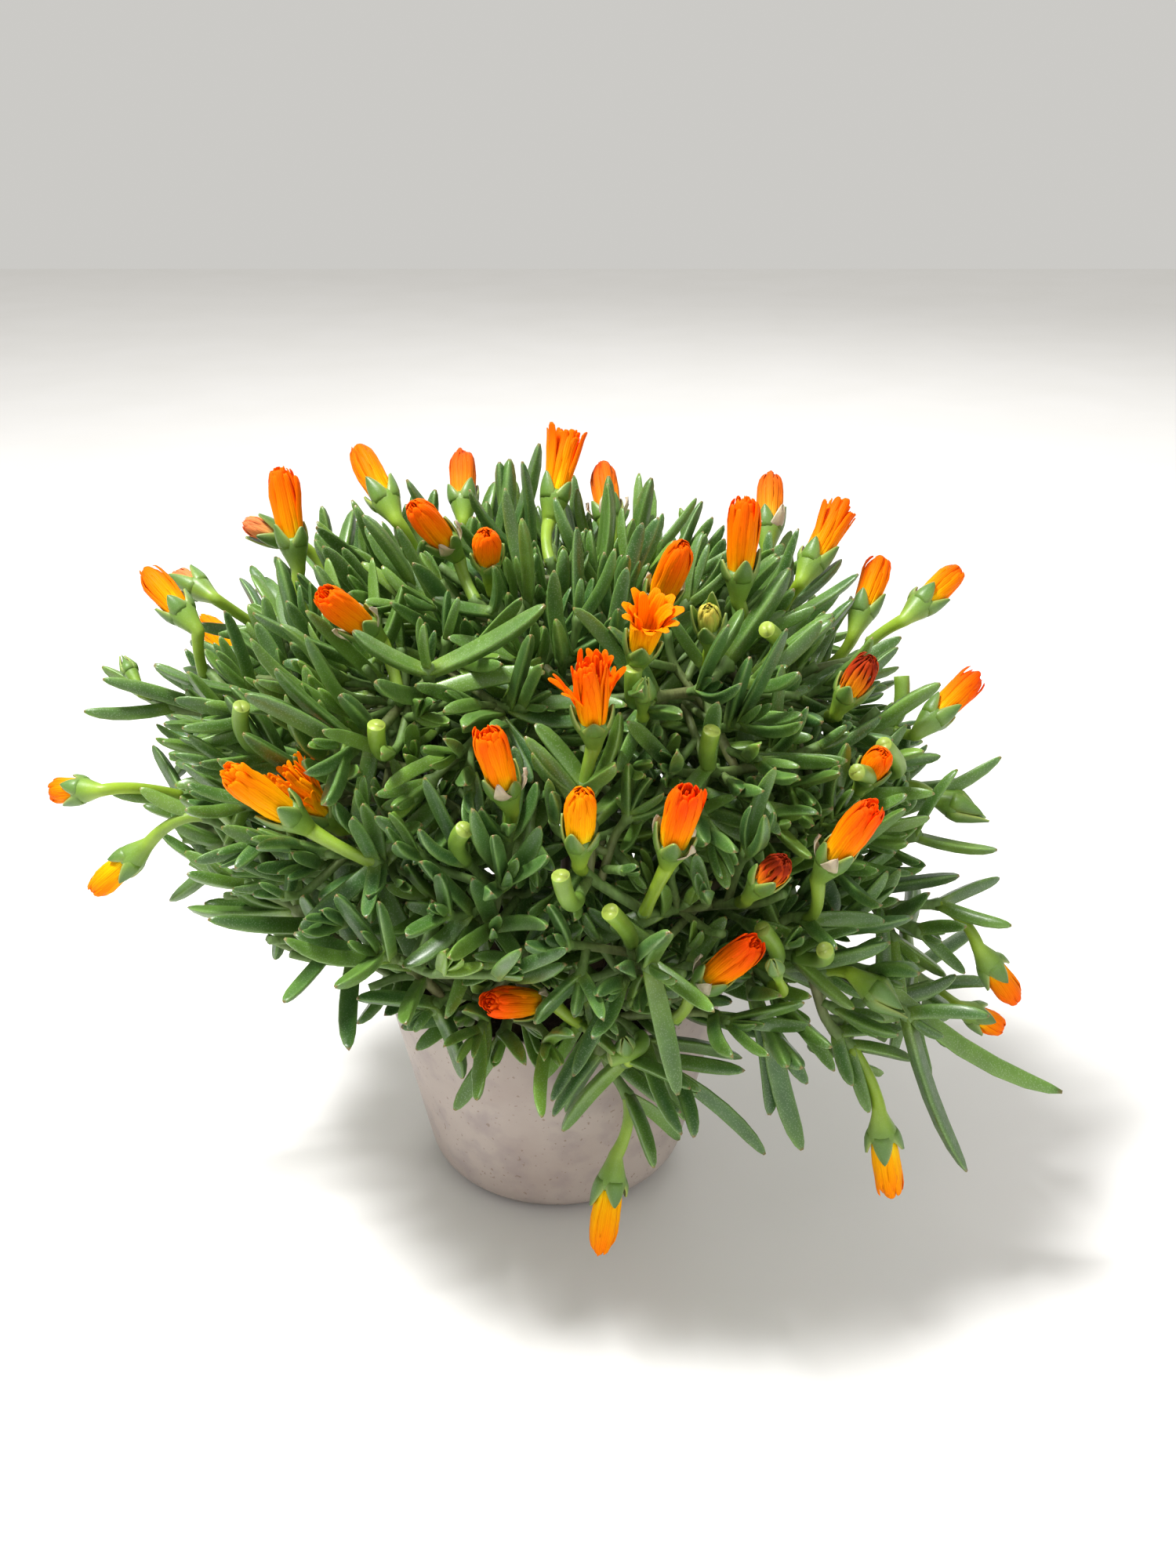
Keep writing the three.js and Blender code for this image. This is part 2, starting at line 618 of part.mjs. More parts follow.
// The petals of a closed bloom: a fluted bundle whose tips stand at uneven heights round a core. Each
// ring has its height as a share of the length and a drop from there, and its radius as a share.
const PETAL_BELT = { share: 0.6, drop: 0, radius: 1 };
const PETAL_TIPS = { share: 1, drop: 1.5, radius: 0.8, high: 1.2, low: -2.6 };
const PETAL_CORE = { share: 1, drop: 3, radius: 0.4 };
function petals(site, side, seed) {
  const { mouth, tip } = site;
  const axis = tip.clone().sub(mouth).normalize();
  const length = tip.distanceTo(mouth);
  const girth = girthOf(site);
  const at = (height) => mouth.clone().addScaledVector(axis, height);
  const flute = (i) => (i % 2 ? PETAL_FLUTE : 1);
  const { high, low } = PETAL_TIPS;
  const ragged = (i) => (i % 2 ? low : high) * girth + between(-1, 1, draw(seed, DRAWS.petals + i));
  const around = ({ share, drop, radius }, scale, rise) =>
    ring(at(share * length - drop), axis, side, radius * PETAL_RADIUS * girth, CALYX_SIDES, scale, rise);
  const foot = CALYX_RADIUS * PETAL_FLUTE * girth;
  const rings = [
    ring(at(PETAL_LIFT), axis, side, foot, CALYX_SIDES, undefined, sepalRise(girth)),
    around(PETAL_BELT, flute),
    around(PETAL_TIPS, flute, ragged),
    around(PETAL_CORE),
  ];
  return limb(at(FUNNEL_FLOOR + PETAL_LIFT), rings, at(length));
}

// The rings of a shoot from its start to its last node: bends of its line, and two rings to each node.
function stationsOf({ line, nodes }) {
  const axis = line[1].clone().sub(line[0]).normalize();
  const stations = [{ centre: line[0], axis, back: Infinity, radius: SHOOT_START }];
  const bends = bendsOf(line);
  if (!nodes.some(({ back }) => back === NODE_BACK)) bends.push(0);
  bends.forEach((back) => stations.push({ ...backAlong(line, back), back, radius: SHOOT_RADIUS }));
  for (const node of nodes) {
    const radius = NODE_RADIUS * node.scale;
    const at = (step) => node.centre.clone().addScaledVector(node.axis, step);
    stations.push({ ...node, centre: at(-NODE_HALF), back: node.back + NODE_HALF, radius, isFoot: true });
    stations.push({ ...node, centre: at(NODE_HALF), back: node.back - NODE_HALF, radius });
  }
  return stations.sort((a, b) => b.back - a.back);
}

// A shoot in one skin: a square stalk with a pair of leaves out of opposite sides of each node, and what
// it bears at its end. Returns the side from which the corners of its last ring are counted.
function growShoot(head, stem) {
  const skin = new Skin();
  let lower = null;
  let way = null;
  let leafyFoot = null;
  for (const station of stationsOf(head)) {
    const { centre, axis, radius } = station;
    const facing = station.side ?? way ?? sideOf(axis);
    const first = station.side || !way ? facing.clone().applyAxisAngle(axis, -Math.PI / SHOOT_SIDES) : way;
    const corners = ring(centre, axis, first, radius, SHOOT_SIDES);
    const nearness = corners.map((corner) => (way ? corner.clone().sub(centre).dot(way) : 0));
    const shift = nearness.indexOf(Math.max(...nearness));
    const aligned = corners.map((_, i) => corners[(i + shift) % SHOOT_SIDES]);
    way = aligned[0].clone().sub(centre).normalize();
    const upper = lower ? skin.add(aligned) : skin.open(aligned, centre);
    if (leafyFoot) {
      const sides = [0, SHOOT_SIDES / 2].map((i) => (i + SHOOT_SIDES - shift) % SHOOT_SIDES);
      skin.bridge(lower, upper, sides);
      sides.forEach((i, k) => {
        const next = (i + 1) % SHOOT_SIDES;
        addLeaf(skin, [lower[i], lower[next], upper[next], upper[i]], leafyFoot.lines[k], leafyFoot);
      });
    } else if (lower) {
      skin.bridge(lower, upper);
    }
    leafyFoot = station.isFoot ? station : null;
    lower = upper;
  }
  const { site, kind, end, line } = head;
  if (!site) {
    const { axis } = backAlong(line, 0);
    skin.close(lower, end.clone().addScaledVector(axis, TIP_LENGTH));
  } else if (kind === "stalk") {
    const axis = site.mouth.clone().sub(end).normalize();
    const cut = skin.add(ring(site.mouth, axis, way, STUB_RADIUS, SHOOT_SIDES));
    skin.bridge(lower, cut);
    skin.close(cut, site.mouth);
  } else {
    const axis = site.tip.clone().sub(site.mouth).normalize();
    const neck = skin.add(ring(neckOf(site), axis, way, PEDUNCLE_RADIUS, SHOOT_SIDES));
    skin.bridge(lower, neck);
    way.addScaledVector(axis, -way.dot(axis)).normalize();
    addCalyx(skin, neck, site, way);
  }
  stem.parts.push(skin.solid());
  return way;
}

// What grows at the end of each shoot
const stems = makeStems();
const heads = [];

const sites = [
  ...BLOOMS.map((row) => ({ ...placeBloom(row, PETAL_LENGTH), kind: "bloom" })),
  ...REAR_BLOOMS.map((row) => ({ ...placeRearBloom(row), kind: "bloom" })),
  ...GREEN_BUDS.map((row) => ({ ...placeBloom(row, BUD_LENGTH), kind: "bud" })),
  ...CUT_STALKS.map((row) => ({ ...placeBloom(row, 0), kind: "stalk" })),
];
const SEPAL_REACH = 0.15; // share of a bloom's length that its sepals' room covers

for (const site of sites) {
  const stem = stemFor(site.root, stems);
  const shoot = heads.length;
  const stalkEnd = site.kind === "stalk" ? site.mouth : neckOf(site);
  put(stretchesOf([site.root, stalkEnd], [PEDUNCLE_RADIUS]), stem, shoot);
  if (site.kind !== "stalk") {
    const sepals = site.mouth.clone().lerp(site.tip, SEPAL_REACH);
    put(stretchesOf([stalkEnd, sepals], [CALYX_ROOM]), stem, shoot);
  }
  if (site.kind === "bloom") put(stretchesOf([site.mouth, site.tip], [PETAL_ROOM]), -1, -2 - shoot);
  heads.push({ end: site.root, aim: outward(site.root), stem, shoot, kind: site.kind, site, nodes: [] });
}

const LEAF_ADVANCE = 6; // how much nearer to the eye a long leaf's tip is than its foot
const LONG_OUTWARD = 0.8; // how much its shoot leans outwards, against the way that the leaf points
for (const { root, tip, depth } of LONG_LEAVES) {
  const end = atDepth(root, depth);
  const leafTip = atDepth(tip, depth - LEAF_ADVANCE);
  const aim = leafTip.clone().sub(end).normalize().addScaledVector(outward(end), LONG_OUTWARD);
  heads.push({ end, aim, stem: stemFor(end, stems), shoot: heads.length, kind: "long", leafTip, nodes: [] });
}

function addLeafyHead(end) {
  const stem = stemFor(end, stems);
  heads.push({ end, aim: outward(end), stem, shoot: heads.length, kind: "leafy", nodes: [] });
}

for (const pixel of LEAFY_ENDS) addLeafyHead(onCrown(pixel, TIP_SWELL, 0));

const FILL_TRIES = 900;
const FILL_SPACING = 26;
const FILL_SWELL = 0.8;
const LOWEST_FILL = -0.42; // as a share of the crown's lower radius
const LOW_WAIST = 0.7; // how much narrower the crown is there than an ellipsoid
const GOLDEN_TURN = Math.PI * (3 - Math.sqrt(5));

for (let i = 0; i < FILL_TRIES; i++) {
  const rise = between(1, LOWEST_FILL, (i + 0.5) / FILL_TRIES);
  const flat = Math.sqrt(1 - rise * rise);
  const way = vec(flat * Math.cos(i * GOLDEN_TURN), flat * Math.sin(i * GOLDEN_TURN), rise);
  const waist = between(1, LOW_WAIST, Math.max(-rise, 0) / -LOWEST_FILL);
  const end = way.multiply(CROWN_RADII).multiplyScalar(FILL_SWELL).multiply(vec(waist, waist, 1));
  end.add(CROWN_CENTRE);
  if (heads.every((head) => head.end.distanceTo(end) > FILL_SPACING)) addLeafyHead(end);
}

// Shoots, those that end nearest to the middle first, so that the outer ones branch from them
const innerFirst = [...heads].sort(
  (a, b) => a.end.distanceTo(GROWTH_CENTRE) - b.end.distanceTo(GROWTH_CENTRE),
);
const SHOOT_RISE = 0.35; // how much a shoot turns up from the way straight out
for (const head of innerFirst) {
  const aim = head.aim.addScaledVector(UP, head.kind === "long" ? 0 : SHOOT_RISE).normalize();
  head.line = shootLine(head.stem, head.end, aim, head.shoot);
}

// The longest leaves come first, each opposite a short one
const SHORT_LEAF = { angle: degToRad(50), length: 24 };
for (const head of heads.filter(({ kind }) => kind === "long")) {
  const at = backAlong(head.line, NODE_BACK);
  const reach = head.leafTip.clone().sub(at.centre);
  const side = reach.clone().addScaledVector(at.axis, -reach.dot(at.axis)).normalize();
  const angle = reach.angleTo(at.axis) + LEAF_CURL * (1 - LEAF_SHOULDER);
  const lines = [
    leafLine(at.centre, at.axis, side, angle, reach.length()),
    leafLine(at.centre, at.axis, side.clone().negate(), SHORT_LEAF.angle, SHORT_LEAF.length),
  ];
  put(lines.flatMap((leaf) => leafStretches(leaf, 1)), head.stem, head.shoot);
  head.nodes.push({ ...at, back: NODE_BACK, side, lines, scale: 1 });
}

// Pairs from the youngest at the end of each shoot to the oldest, the next always across the last
const PAIR_KINDS = [
  { back: NODE_BACK, angles: [26, 40], lengths: [20, 28], scale: 0.85 },
  { back: 13, angles: [42, 56], lengths: [28, 38], scale: 1 },
  { back: 25, angles: [56, 72], lengths: [32, 42], scale: 1 },
];
const PAIR_AGES = { leafy: [0, 1, 2], long: [1], bloom: [0, 1], bud: [0, 1], stalk: [0, 1] };
const STALK_SPREAD = 8; // degrees by which leaves stand wider under a bloom, a bud or a cut
PAIR_KINDS.forEach(({ back, angles, lengths, scale }, age) => {
  for (const head of heads) {
    const { kind, shoot } = head;
    if (!PAIR_AGES[kind].includes(age)) continue;
    const turn = 2 * Math.PI * draw(shoot, DRAWS.turn) + (age * Math.PI) / 2;
    const spread = between(...angles, draw(shoot, DRAWS.angle + age));
    const angle = degToRad(spread + (kind === "leafy" ? 0 : STALK_SPREAD));
    const length = between(...lengths, draw(shoot, DRAWS.length + age));
    const node = findPair(head, { back, turn, angle, length, scale });
    if (node) head.nodes.push(node);
  }
});

const petalSolids = [];
for (const head of heads) {
  const side = growShoot(head, stems[head.stem]);
  if (head.kind === "bloom") petalSolids.push(petals(head.site, side, head.shoot));
}

// A named mesh from a solid.
function meshFrom(name, solid, finish) {
  const { vertProperties, triVerts } = solid.getMesh();
  const geometry = new THREE.BufferGeometry();
  geometry.setAttribute("position", new THREE.BufferAttribute(vertProperties, 3));
  geometry.setIndex(new THREE.BufferAttribute(triVerts, 1));
  geometry.computeVertexNormals();
  const mesh = new THREE.Mesh(geometry, finish);
  mesh.name = name;
  return mesh;
}

const fuse = (parts) => parts.reduce((whole, part) => whole.add(part));

const WALL_LEAN = Math.atan(WALL_SLOPE);
const FOOT_FLAT = FOOT_RADIUS - FOOT_ROUNDING * Math.tan((Math.PI / 2 - WALL_LEAN) / 2);

// Adds the rounded corner between base and wall to an outline, at a distance in from the outside.
function addCorner(path, inset, inward) {
  const turns = [-Math.PI / 2, -WALL_LEAN];
  if (inward) turns.reverse();
  path.absarc(FOOT_FLAT, FOOT_ROUNDING, FOOT_ROUNDING - inset, turns[0], turns[1], inward);
}

function turned(path) {
  return solidFrom(new THREE.LatheGeometry(path.getPoints(ARC_STEPS), ROUND_SIDES).rotateX(Math.PI / 2));
}

// An upright round cutter.
const CUT_OVER = 1; // how far a cutter reaches past what it cuts
function cutter(radius, low, high, x, y, sides) {
  const rod = new THREE.CylinderGeometry(radius, radius, high - low, sides);
  return solidFrom(rod.rotateX(Math.PI / 2).translate(x, y, (low + high) / 2));
}

function makePot() {
  const path = new THREE.Path().moveTo(0, 0).lineTo(FOOT_FLAT, 0);
  addCorner(path, 0, false);
  path.lineTo(RIM_RADIUS, POT_HEIGHT);
  path.lineTo(RIM_RADIUS - WALL, POT_HEIGHT);
  addCorner(path, WALL, true);
  path.lineTo(0, WALL);
  let pot = turned(path);
  for (let i = 0; i < DRAIN_HOLES; i++) {
    const turn = (2 * Math.PI * (i + 0.5)) / DRAIN_HOLES;
    const [x, y] = [DRAIN_RING * Math.cos(turn), DRAIN_RING * Math.sin(turn)];
    pot = pot.subtract(cutter(DRAIN_RADIUS, -CUT_OVER, WALL + CUT_OVER, x, y, DRAIN_SIDES));
  }
  return pot;
}

function makeSoil() {
  const inset = WALL + GAP;
  const path = new THREE.Path().moveTo(0, inset).lineTo(FOOT_FLAT, inset);
  addCorner(path, inset, false);
  path.lineTo(potRadiusAt(SOIL_EDGE) - inset / Math.cos(WALL_LEAN), SOIL_EDGE);
  path.lineTo(RIM_RADIUS * CROWN_SHARE, SOIL_CROWN);
  path.lineTo(0, SOIL_CROWN);
  let soil = turned(path);
  for (const { line } of stems) {
    const { x, y } = line[0];
    soil = soil.subtract(cutter(HOLE_RADIUS, HOLE_FLOOR, SOIL_CROWN + CUT_OVER, x, y, HOLE_SIDES));
  }
  return soil;
}

const paint = (color, roughness) => new THREE.MeshStandardMaterial({ color, roughness, metalness: 0 });
const FINISHES = {
  pot: paint(0xb9aaa4, 0.45),
  soil: paint(0x3a2a20, 0.95),
  leaf: paint(0x4c8a55, 0.4),
  petal: paint(0xff7a10, 0.55),
};

const plant = new THREE.Group();
plant.add(meshFrom("pot", makePot(), FINISHES.pot));
plant.add(meshFrom("soil", makeSoil(), FINISHES.soil));
const numbered = (word, i) => word + "_" + String(i + 1).padStart(2, "0");
stems.forEach(({ parts }, i) => plant.add(meshFrom(numbered("stem", i), fuse(parts), FINISHES.leaf)));
petalSolids.forEach((solid, i) => plant.add(meshFrom(numbered("petals", i), solid, FINISHES.petal)));

export default plant;
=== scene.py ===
"""A potted ice plant: a dome of fleshy paired leaves, closed orange blooms and a thin tapered pot.

The rule that places stems, shoots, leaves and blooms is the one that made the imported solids, so every
piece here has the place and the form of the solid that it replaces. More leaves then fill the crown.
Sizes of the plant are in millimetres and become metres when a mesh is made. Front is -Y.
"""

from __future__ import annotations

import logging
import math
from collections.abc import Sequence
from dataclasses import dataclass, field
from enum import Enum, IntEnum, auto

import bpy
import numpy as np
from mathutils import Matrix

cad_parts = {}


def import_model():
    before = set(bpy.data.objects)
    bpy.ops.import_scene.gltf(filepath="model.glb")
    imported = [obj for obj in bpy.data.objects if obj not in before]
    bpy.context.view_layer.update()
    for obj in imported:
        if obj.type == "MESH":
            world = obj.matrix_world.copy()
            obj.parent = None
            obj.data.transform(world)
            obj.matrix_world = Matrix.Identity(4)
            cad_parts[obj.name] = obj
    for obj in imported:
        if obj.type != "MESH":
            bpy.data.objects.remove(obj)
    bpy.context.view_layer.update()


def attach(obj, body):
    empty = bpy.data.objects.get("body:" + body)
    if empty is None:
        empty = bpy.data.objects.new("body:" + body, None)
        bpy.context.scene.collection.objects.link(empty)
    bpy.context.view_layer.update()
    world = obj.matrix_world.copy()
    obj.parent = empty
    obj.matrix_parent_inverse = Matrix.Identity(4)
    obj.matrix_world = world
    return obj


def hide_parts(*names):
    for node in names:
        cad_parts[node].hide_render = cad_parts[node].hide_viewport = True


log = logging.getLogger("ice_plant")

MM = 0.001
UP = np.array([0.0, 0.0, 1.0])
GOLDEN_TURN = math.pi * (3 - math.sqrt(5))

Vec = np.ndarray
Pixel = tuple[float, float]
Colour = tuple[float, float, float]
Socket = bpy.types.NodeSocket
Ramp = Sequence[tuple[float, Colour]]


def vec(x: float, y: float, z: float) -> Vec:
    """Returns a point or direction as an array."""
    return np.array([x, y, z], float)


def unit(way: Vec) -> Vec:
    """Returns a direction of length 1."""
    return way * (1 / math.sqrt(way @ way))


def length_of(way: Vec) -> float:
    """Returns the length of one direction."""
    return math.sqrt(way @ way)


def between(low: float, high: float, share: float) -> float:
    """Returns the value at a share of the way from low to high."""
    return low + (high - low) * share


def turned(way: Vec, axis: Vec, angle: float) -> Vec:
    """Turns a direction round an axis.

    Args:
        way: the direction.
        axis: the axis, of length 1.
        angle: how far it is turned, in radians.

    Returns:
        The direction after the turn.
    """
    return (
        way * math.cos(angle)
        + np.cross(axis, way) * math.sin(angle)
        + axis * (axis @ way) * (1 - math.cos(angle))
    )


def side_of(axis: Vec) -> Vec:
    """Returns any direction across an axis."""
    nearly_upright = 0.9
    other = vec(1, 0, 0) if abs(axis[2]) > nearly_upright else UP
    return unit(np.cross(other, axis))


def draw(shoot: int, choice: int) -> float:
    """Makes a repeatable draw for one choice about one shoot or leaf.

    Args:
        shoot: the number of the shoot or leaf.
        choice: the number of the choice.

    Returns:
        A number from 0 to 1.
    """
    mask = 0xFFFFFFFF
    bits = ((shoot + 1) * 0x9E3779B1 ^ (choice + 1) * 0x85EBCA6B) & mask
    bits = ((bits ^ (bits >> 15)) * 0x2C1B3C6D) & mask
    bits = ((bits ^ (bits >> 12)) * 0x297A2D39) & mask
    return (bits ^ (bits >> 15)) / 2**32


class Draw(IntEnum):
    """Which draw each choice about a shoot starts from."""

    ELBOW_X = 20
    ELBOW_Y = 50
    TURN = 90
    ANGLE = 91
    LENGTH = 95
    MORE_TURN = 120
    WANDER = 121
    MORE_ANGLE = 140
    MORE_LENGTH = 160
    WOOD_TONE = 180
    LEAF_SWAY = 180
    LEAF_BOW = 181
    LEAF_TONE = 182
    LEAF_GIRTH = 183
    SEPAL_TONE = 184
    STALK_TONE = 185
    VIGOUR = 186
    MORE_LIFT = 200


@dataclass(frozen=True)
class PotSizes:
    """Sizes of the pot and of the soil in it."""

    rim_radius: float = 55
    height: float = 74
    foot_radius: float = 39
    foot_rounding: float = 13
    wall: float = 1.5
    drain_holes: int = 4
    drain_radius: float = 4
    drain_ring: float = 16
    gap: float = 0.3
    soil_edge: float = 65
    soil_crown: float = 68
    hole_floor: float = 53

    @property
    def slope(self) -> float:
        """How much the radius grows for each unit of height."""
        return (self.rim_radius - self.foot_radius) / self.height

    @property
    def lean(self) -> float:
        """The wall's angle to the upright, in radians."""
        return math.atan(self.slope)

    @property
    def foot_flat(self) -> float:
        """Radius of the flat part of the base."""
        return self.foot_radius - self.foot_rounding * math.tan((math.pi / 2 - self.lean) / 2)

    def radius_at(self, height: float) -> float:
        """Returns the outer radius of the straight wall at a height."""
        return self.foot_radius + self.slope * height


POT = PotSizes()


@dataclass(frozen=True)
class PlantSizes:
    """Sizes of stems, leaves and blooms."""

    stem_radius: float = 2.6
    stem_rise: float = 4
    shoot_radius: float = 1.9
    node_half: float = 2.2
    node_back: float = 2.4
    leaf_width: float = 6.2
    leaf_depth: float = 4.8
    keel_share: float = 0.6
    leaf_shoulder: float = 0.7
    leaf_curl: float = math.radians(14)
    shoulder_lift: float = 0.3
    peduncle_radius: float = 1.6
    receptacle_length: float = 9
    calyx_radius: float = 5.8
    sepal_lengths: tuple[float, ...] = (7, 4.5, 6, 8)
    petal_radius: float = 5.2
    petal_length: float = 20
    bud_length: float = 8
    stub_radius: float = 2.3
    least_girth: float = 0.75


PLANT = PlantSizes()


@dataclass(frozen=True)
class Rooms:
    """Clearances, as radii round the middle line of each kind of limb."""

    leaf: float = 3.5
    tip: float = 2.6
    calyx: float = 6.3
    petal: float = 5.6
    ground: float = 4

    @property
    def pair(self) -> tuple[float, float]:
        """Radii of the body and of the tip of each leaf of a pair."""
        return self.leaf, self.tip


ROOMS = Rooms()


@dataclass(frozen=True)
class Viewpoint:
    """The photograph's viewpoint, for places read from it as pixels of its 1500 x 2000 frame."""

    eye: tuple[float, float, float] = (10, -471, 346)
    pitch: float = math.radians(24.6)
    focal: float = 2200
    middle: Pixel = (750, 1000)
    frame_height: float = 2000

    def sight_line(self, pixel: Pixel) -> Vec:
        """Returns the direction in which the eye sees a pixel."""
        forward = vec(0, math.cos(self.pitch), -math.sin(self.pitch))
        upward = vec(0, math.sin(self.pitch), math.cos(self.pitch))
        across = vec(pixel[0] - self.middle[0], 0, 0)
        return unit(forward * self.focal + across + upward * (self.middle[1] - pixel[1]))

    def at_depth(self, pixel: Pixel, depth: float) -> Vec:
        """Returns the point that a pixel shows on the upright plane at a depth behind the pot's middle."""
        line = self.sight_line(pixel)
        return np.array(self.eye, float) + line * ((depth - self.eye[1]) / line[1])

    def pixel_of(self, point: Vec) -> Pixel:
        """Returns the pixel that shows a point."""
        forward = vec(0, math.cos(self.pitch), -math.sin(self.pitch))
        upward = vec(0, math.sin(self.pitch), math.cos(self.pitch))
        offset = point - np.array(self.eye, float)
        scale = self.focal / (offset @ forward)
        return self.middle[0] + offset[0] * scale, self.middle[1] - (offset @ upward) * scale


VIEW = Viewpoint()


@dataclass(frozen=True)
class Crown:
    """The crown of leaves, which is about an ellipsoid."""

    centre: tuple[float, float, float] = (-4, -2, 118)
    radii: tuple[float, float, float] = (124, 108, 96)
    mouth_swell: float = 0.98
    root_swell: float = 0.84
    tip_swell: float = 0.84
    root_set_back: float = 8
    rear_lift: float = 0.3

    def outward(self, point: Vec) -> Vec:
        """Returns the way out of the crown at a point."""
        return unit((point - np.array(self.centre)) / np.array(self.radii))

    def seen_at(self, pixel: Pixel, swell: float, push: float) -> Vec:
        """Returns the point of the crown, swollen or shrunk, that a pixel shows.

        Args:
            pixel: a place in the photograph.
            swell: the crown's size as a share of its own.
            push: how much further from the eye the point lies.

        Returns:
            The point, or where the sight line passes closest if it misses the crown.
        """
        line = VIEW.sight_line(pixel)
        start = (np.array(VIEW.eye, float) - np.array(self.centre)) / np.array(self.radii)
        way = line / np.array(self.radii)
        nearest = -(start @ way) / (way @ way)
        miss = length_of(start + way * nearest)
        half = math.sqrt(swell * swell - miss * miss) / length_of(way) if miss < swell else 0.0
        return np.array(VIEW.eye, float) + line * (nearest - half + push)


CROWN = Crown()
GROWTH_CENTRE = vec(0, 0, 78)


class Look(Enum):
    """How a bloom's petals look."""

    ORANGE = auto()
    YELLOW = auto()
    AMBER = auto()
    RED = auto()
    SALMON = auto()
    PALE = auto()
    DRIED = auto()


YOUNG_LOOKS = (Look.SALMON, Look.PALE)


class Spread(Enum):
    """How far a bloom's petals stand apart."""

    DOMED = auto()
    RAGGED = auto()
    FLARED = auto()
    OPEN = auto()
    SPIKY = auto()


@dataclass(frozen=True)
class Sighting:
    """One bloom, bud or cut stalk as the photograph shows it.

    Attributes:
        tip: pixel of the petals' tip.
        mouth: pixel of the calyx's mouth.
        root: pixel where the stalk leaves the leaves.
        push: how much it is moved away from the eye.
        depth: how far back it stands, instead of on the crown's surface.
        size: the length of its petals against a full-grown one.
        look: colour of its petals.
        spread: how far its petals stand apart.
        is_hidden: whether leaves stand in front of it.
        slimness: its girth against the usual one for its size.
        is_withered: whether it has papery flakes of withered sepals.
    """

    tip: Pixel
    mouth: Pixel
    root: Pixel
    push: float = 0
    depth: float | None = None
    size: float = 1
    look: Look = Look.ORANGE
    spread: Spread = Spread.DOMED
    is_hidden: bool = False
    slimness: float = 1
    is_withered: bool = False


BLOOMS = (
    Sighting((185, 728), (229, 778), (254, 858), size=0.85),
    Sighting((219, 728), (250, 748), (331, 801), push=14, size=0.6, look=Look.SALMON),
    Sighting((300, 662), (350, 682), (415, 732), push=16, size=0.5, look=Look.SALMON),
    Sighting((355, 598), (373, 688), (391, 794), spread=Spread.RAGGED),
    Sighting((455, 571), (490, 635), (537, 718)),
    Sighting((527, 644), (566, 690), (601, 762), size=0.85, is_withered=True),
    Sighting((410, 756), (462, 798), (508, 887), size=0.9, spread=Spread.RAGGED, is_withered=True),
    Sighting((590, 577), (591, 635), (591, 692), push=10, size=0.8, look=Look.AMBER),
    Sighting((620, 680), (622, 712), (626, 750), size=0.6, is_hidden=True),
    Sighting((725, 549), (708, 630), (700, 711), spread=Spread.FLARED),
    Sighting((768, 592), (776, 655), (767, 720), push=16, size=0.85, look=Look.AMBER, is_withered=True),
    Sighting((872, 695), (842, 762), (818, 829), push=14, is_withered=True),
    Sighting((832, 775), (818, 825), (806, 868), push=-8, size=0.75, look=Look.YELLOW, spread=Spread.OPEN),
    Sighting((950, 637), (944, 728), (955, 802), push=-8, spread=Spread.RAGGED),
    Sighting((983, 606), (980, 670), (984, 740), push=20, size=0.9, look=Look.AMBER, is_withered=True),
    Sighting((1075, 645), (1038, 713), (1001, 770), spread=Spread.FLARED),
    Sighting((1124, 713), (1101, 776), (1057, 851), push=10, size=0.85),
    Sighting((1222, 728), (1178, 768), (1110, 816), size=0.8),
    Sighting((1117, 830), (1085, 880), (1064, 911), size=0.75, look=Look.DRIED),
    Sighting((1246, 862), (1194, 912), (1148, 932), size=0.9, look=Look.RED, spread=Spread.RAGGED),
    Sighting((752, 840), (756, 918), (744, 995), push=-6, spread=Spread.SPIKY),
    Sighting((620, 930), (642, 1000), (649, 1050), size=0.9, spread=Spread.RAGGED, is_withered=True),
    Sighting((741, 1010), (740, 1067), (738, 1105), size=0.75, look=Look.YELLOW),
    Sighting((878, 1005), (859, 1075), (820, 1165), look=Look.RED, spread=Spread.RAGGED, is_withered=True),
    Sighting((1114, 1026), (1064, 1093), (1037, 1175), look=Look.RED, spread=Spread.RAGGED, is_withered=True),
    Sighting((1007, 1091), (976, 1122), (950, 1150), push=8, size=0.6, look=Look.DRIED),
    Sighting((69, 1008), (101, 1008), (225, 1012), size=0.5, spread=Spread.RAGGED),
    Sighting((120, 1136), (165, 1097), (254, 1037), size=0.8, look=Look.YELLOW),
    Sighting((289, 983), (364, 1036), (477, 1101), look=Look.YELLOW, spread=Spread.RAGGED),
    Sighting((356, 985), (409, 1034), (461, 1053), push=30, size=0.9, look=Look.YELLOW, spread=Spread.SPIKY),
    Sighting(
        (623, 1279), (680, 1278), (738, 1311),
        depth=-76, look=Look.RED, spread=Spread.RAGGED, is_withered=True,
    ),
    Sighting(
        (965, 1202), (907, 1248), (865, 1302),
        depth=-84, look=Look.RED, spread=Spread.RAGGED, is_withered=True,
    ),
    Sighting((1127, 960), (1110, 985), (1095, 1010), push=6, size=0.5, is_hidden=True),
    Sighting((1294, 1275), (1265, 1233), (1206, 1153), depth=-30, size=0.75),
    Sighting((1136, 1520), (1126, 1450), (1091, 1341), depth=-68, look=Look.YELLOW, spread=Spread.RAGGED),
    Sighting((765, 1596), (779, 1512), (806, 1405), depth=-72, look=Look.YELLOW),
    Sighting((1276, 1311), (1245, 1295), (1195, 1262), depth=-12, size=0.6),
    Sighting((903, 768), (905, 800), (900, 840), size=0.5, look=Look.PALE, is_hidden=True),
)


@dataclass(frozen=True)
class RearBloom:
    """A bloom on the side that the photograph doesn't show, by compass direction and height in degrees."""

    azimuth: float
    elevation: float
    size: float
    look: Look = Look.ORANGE


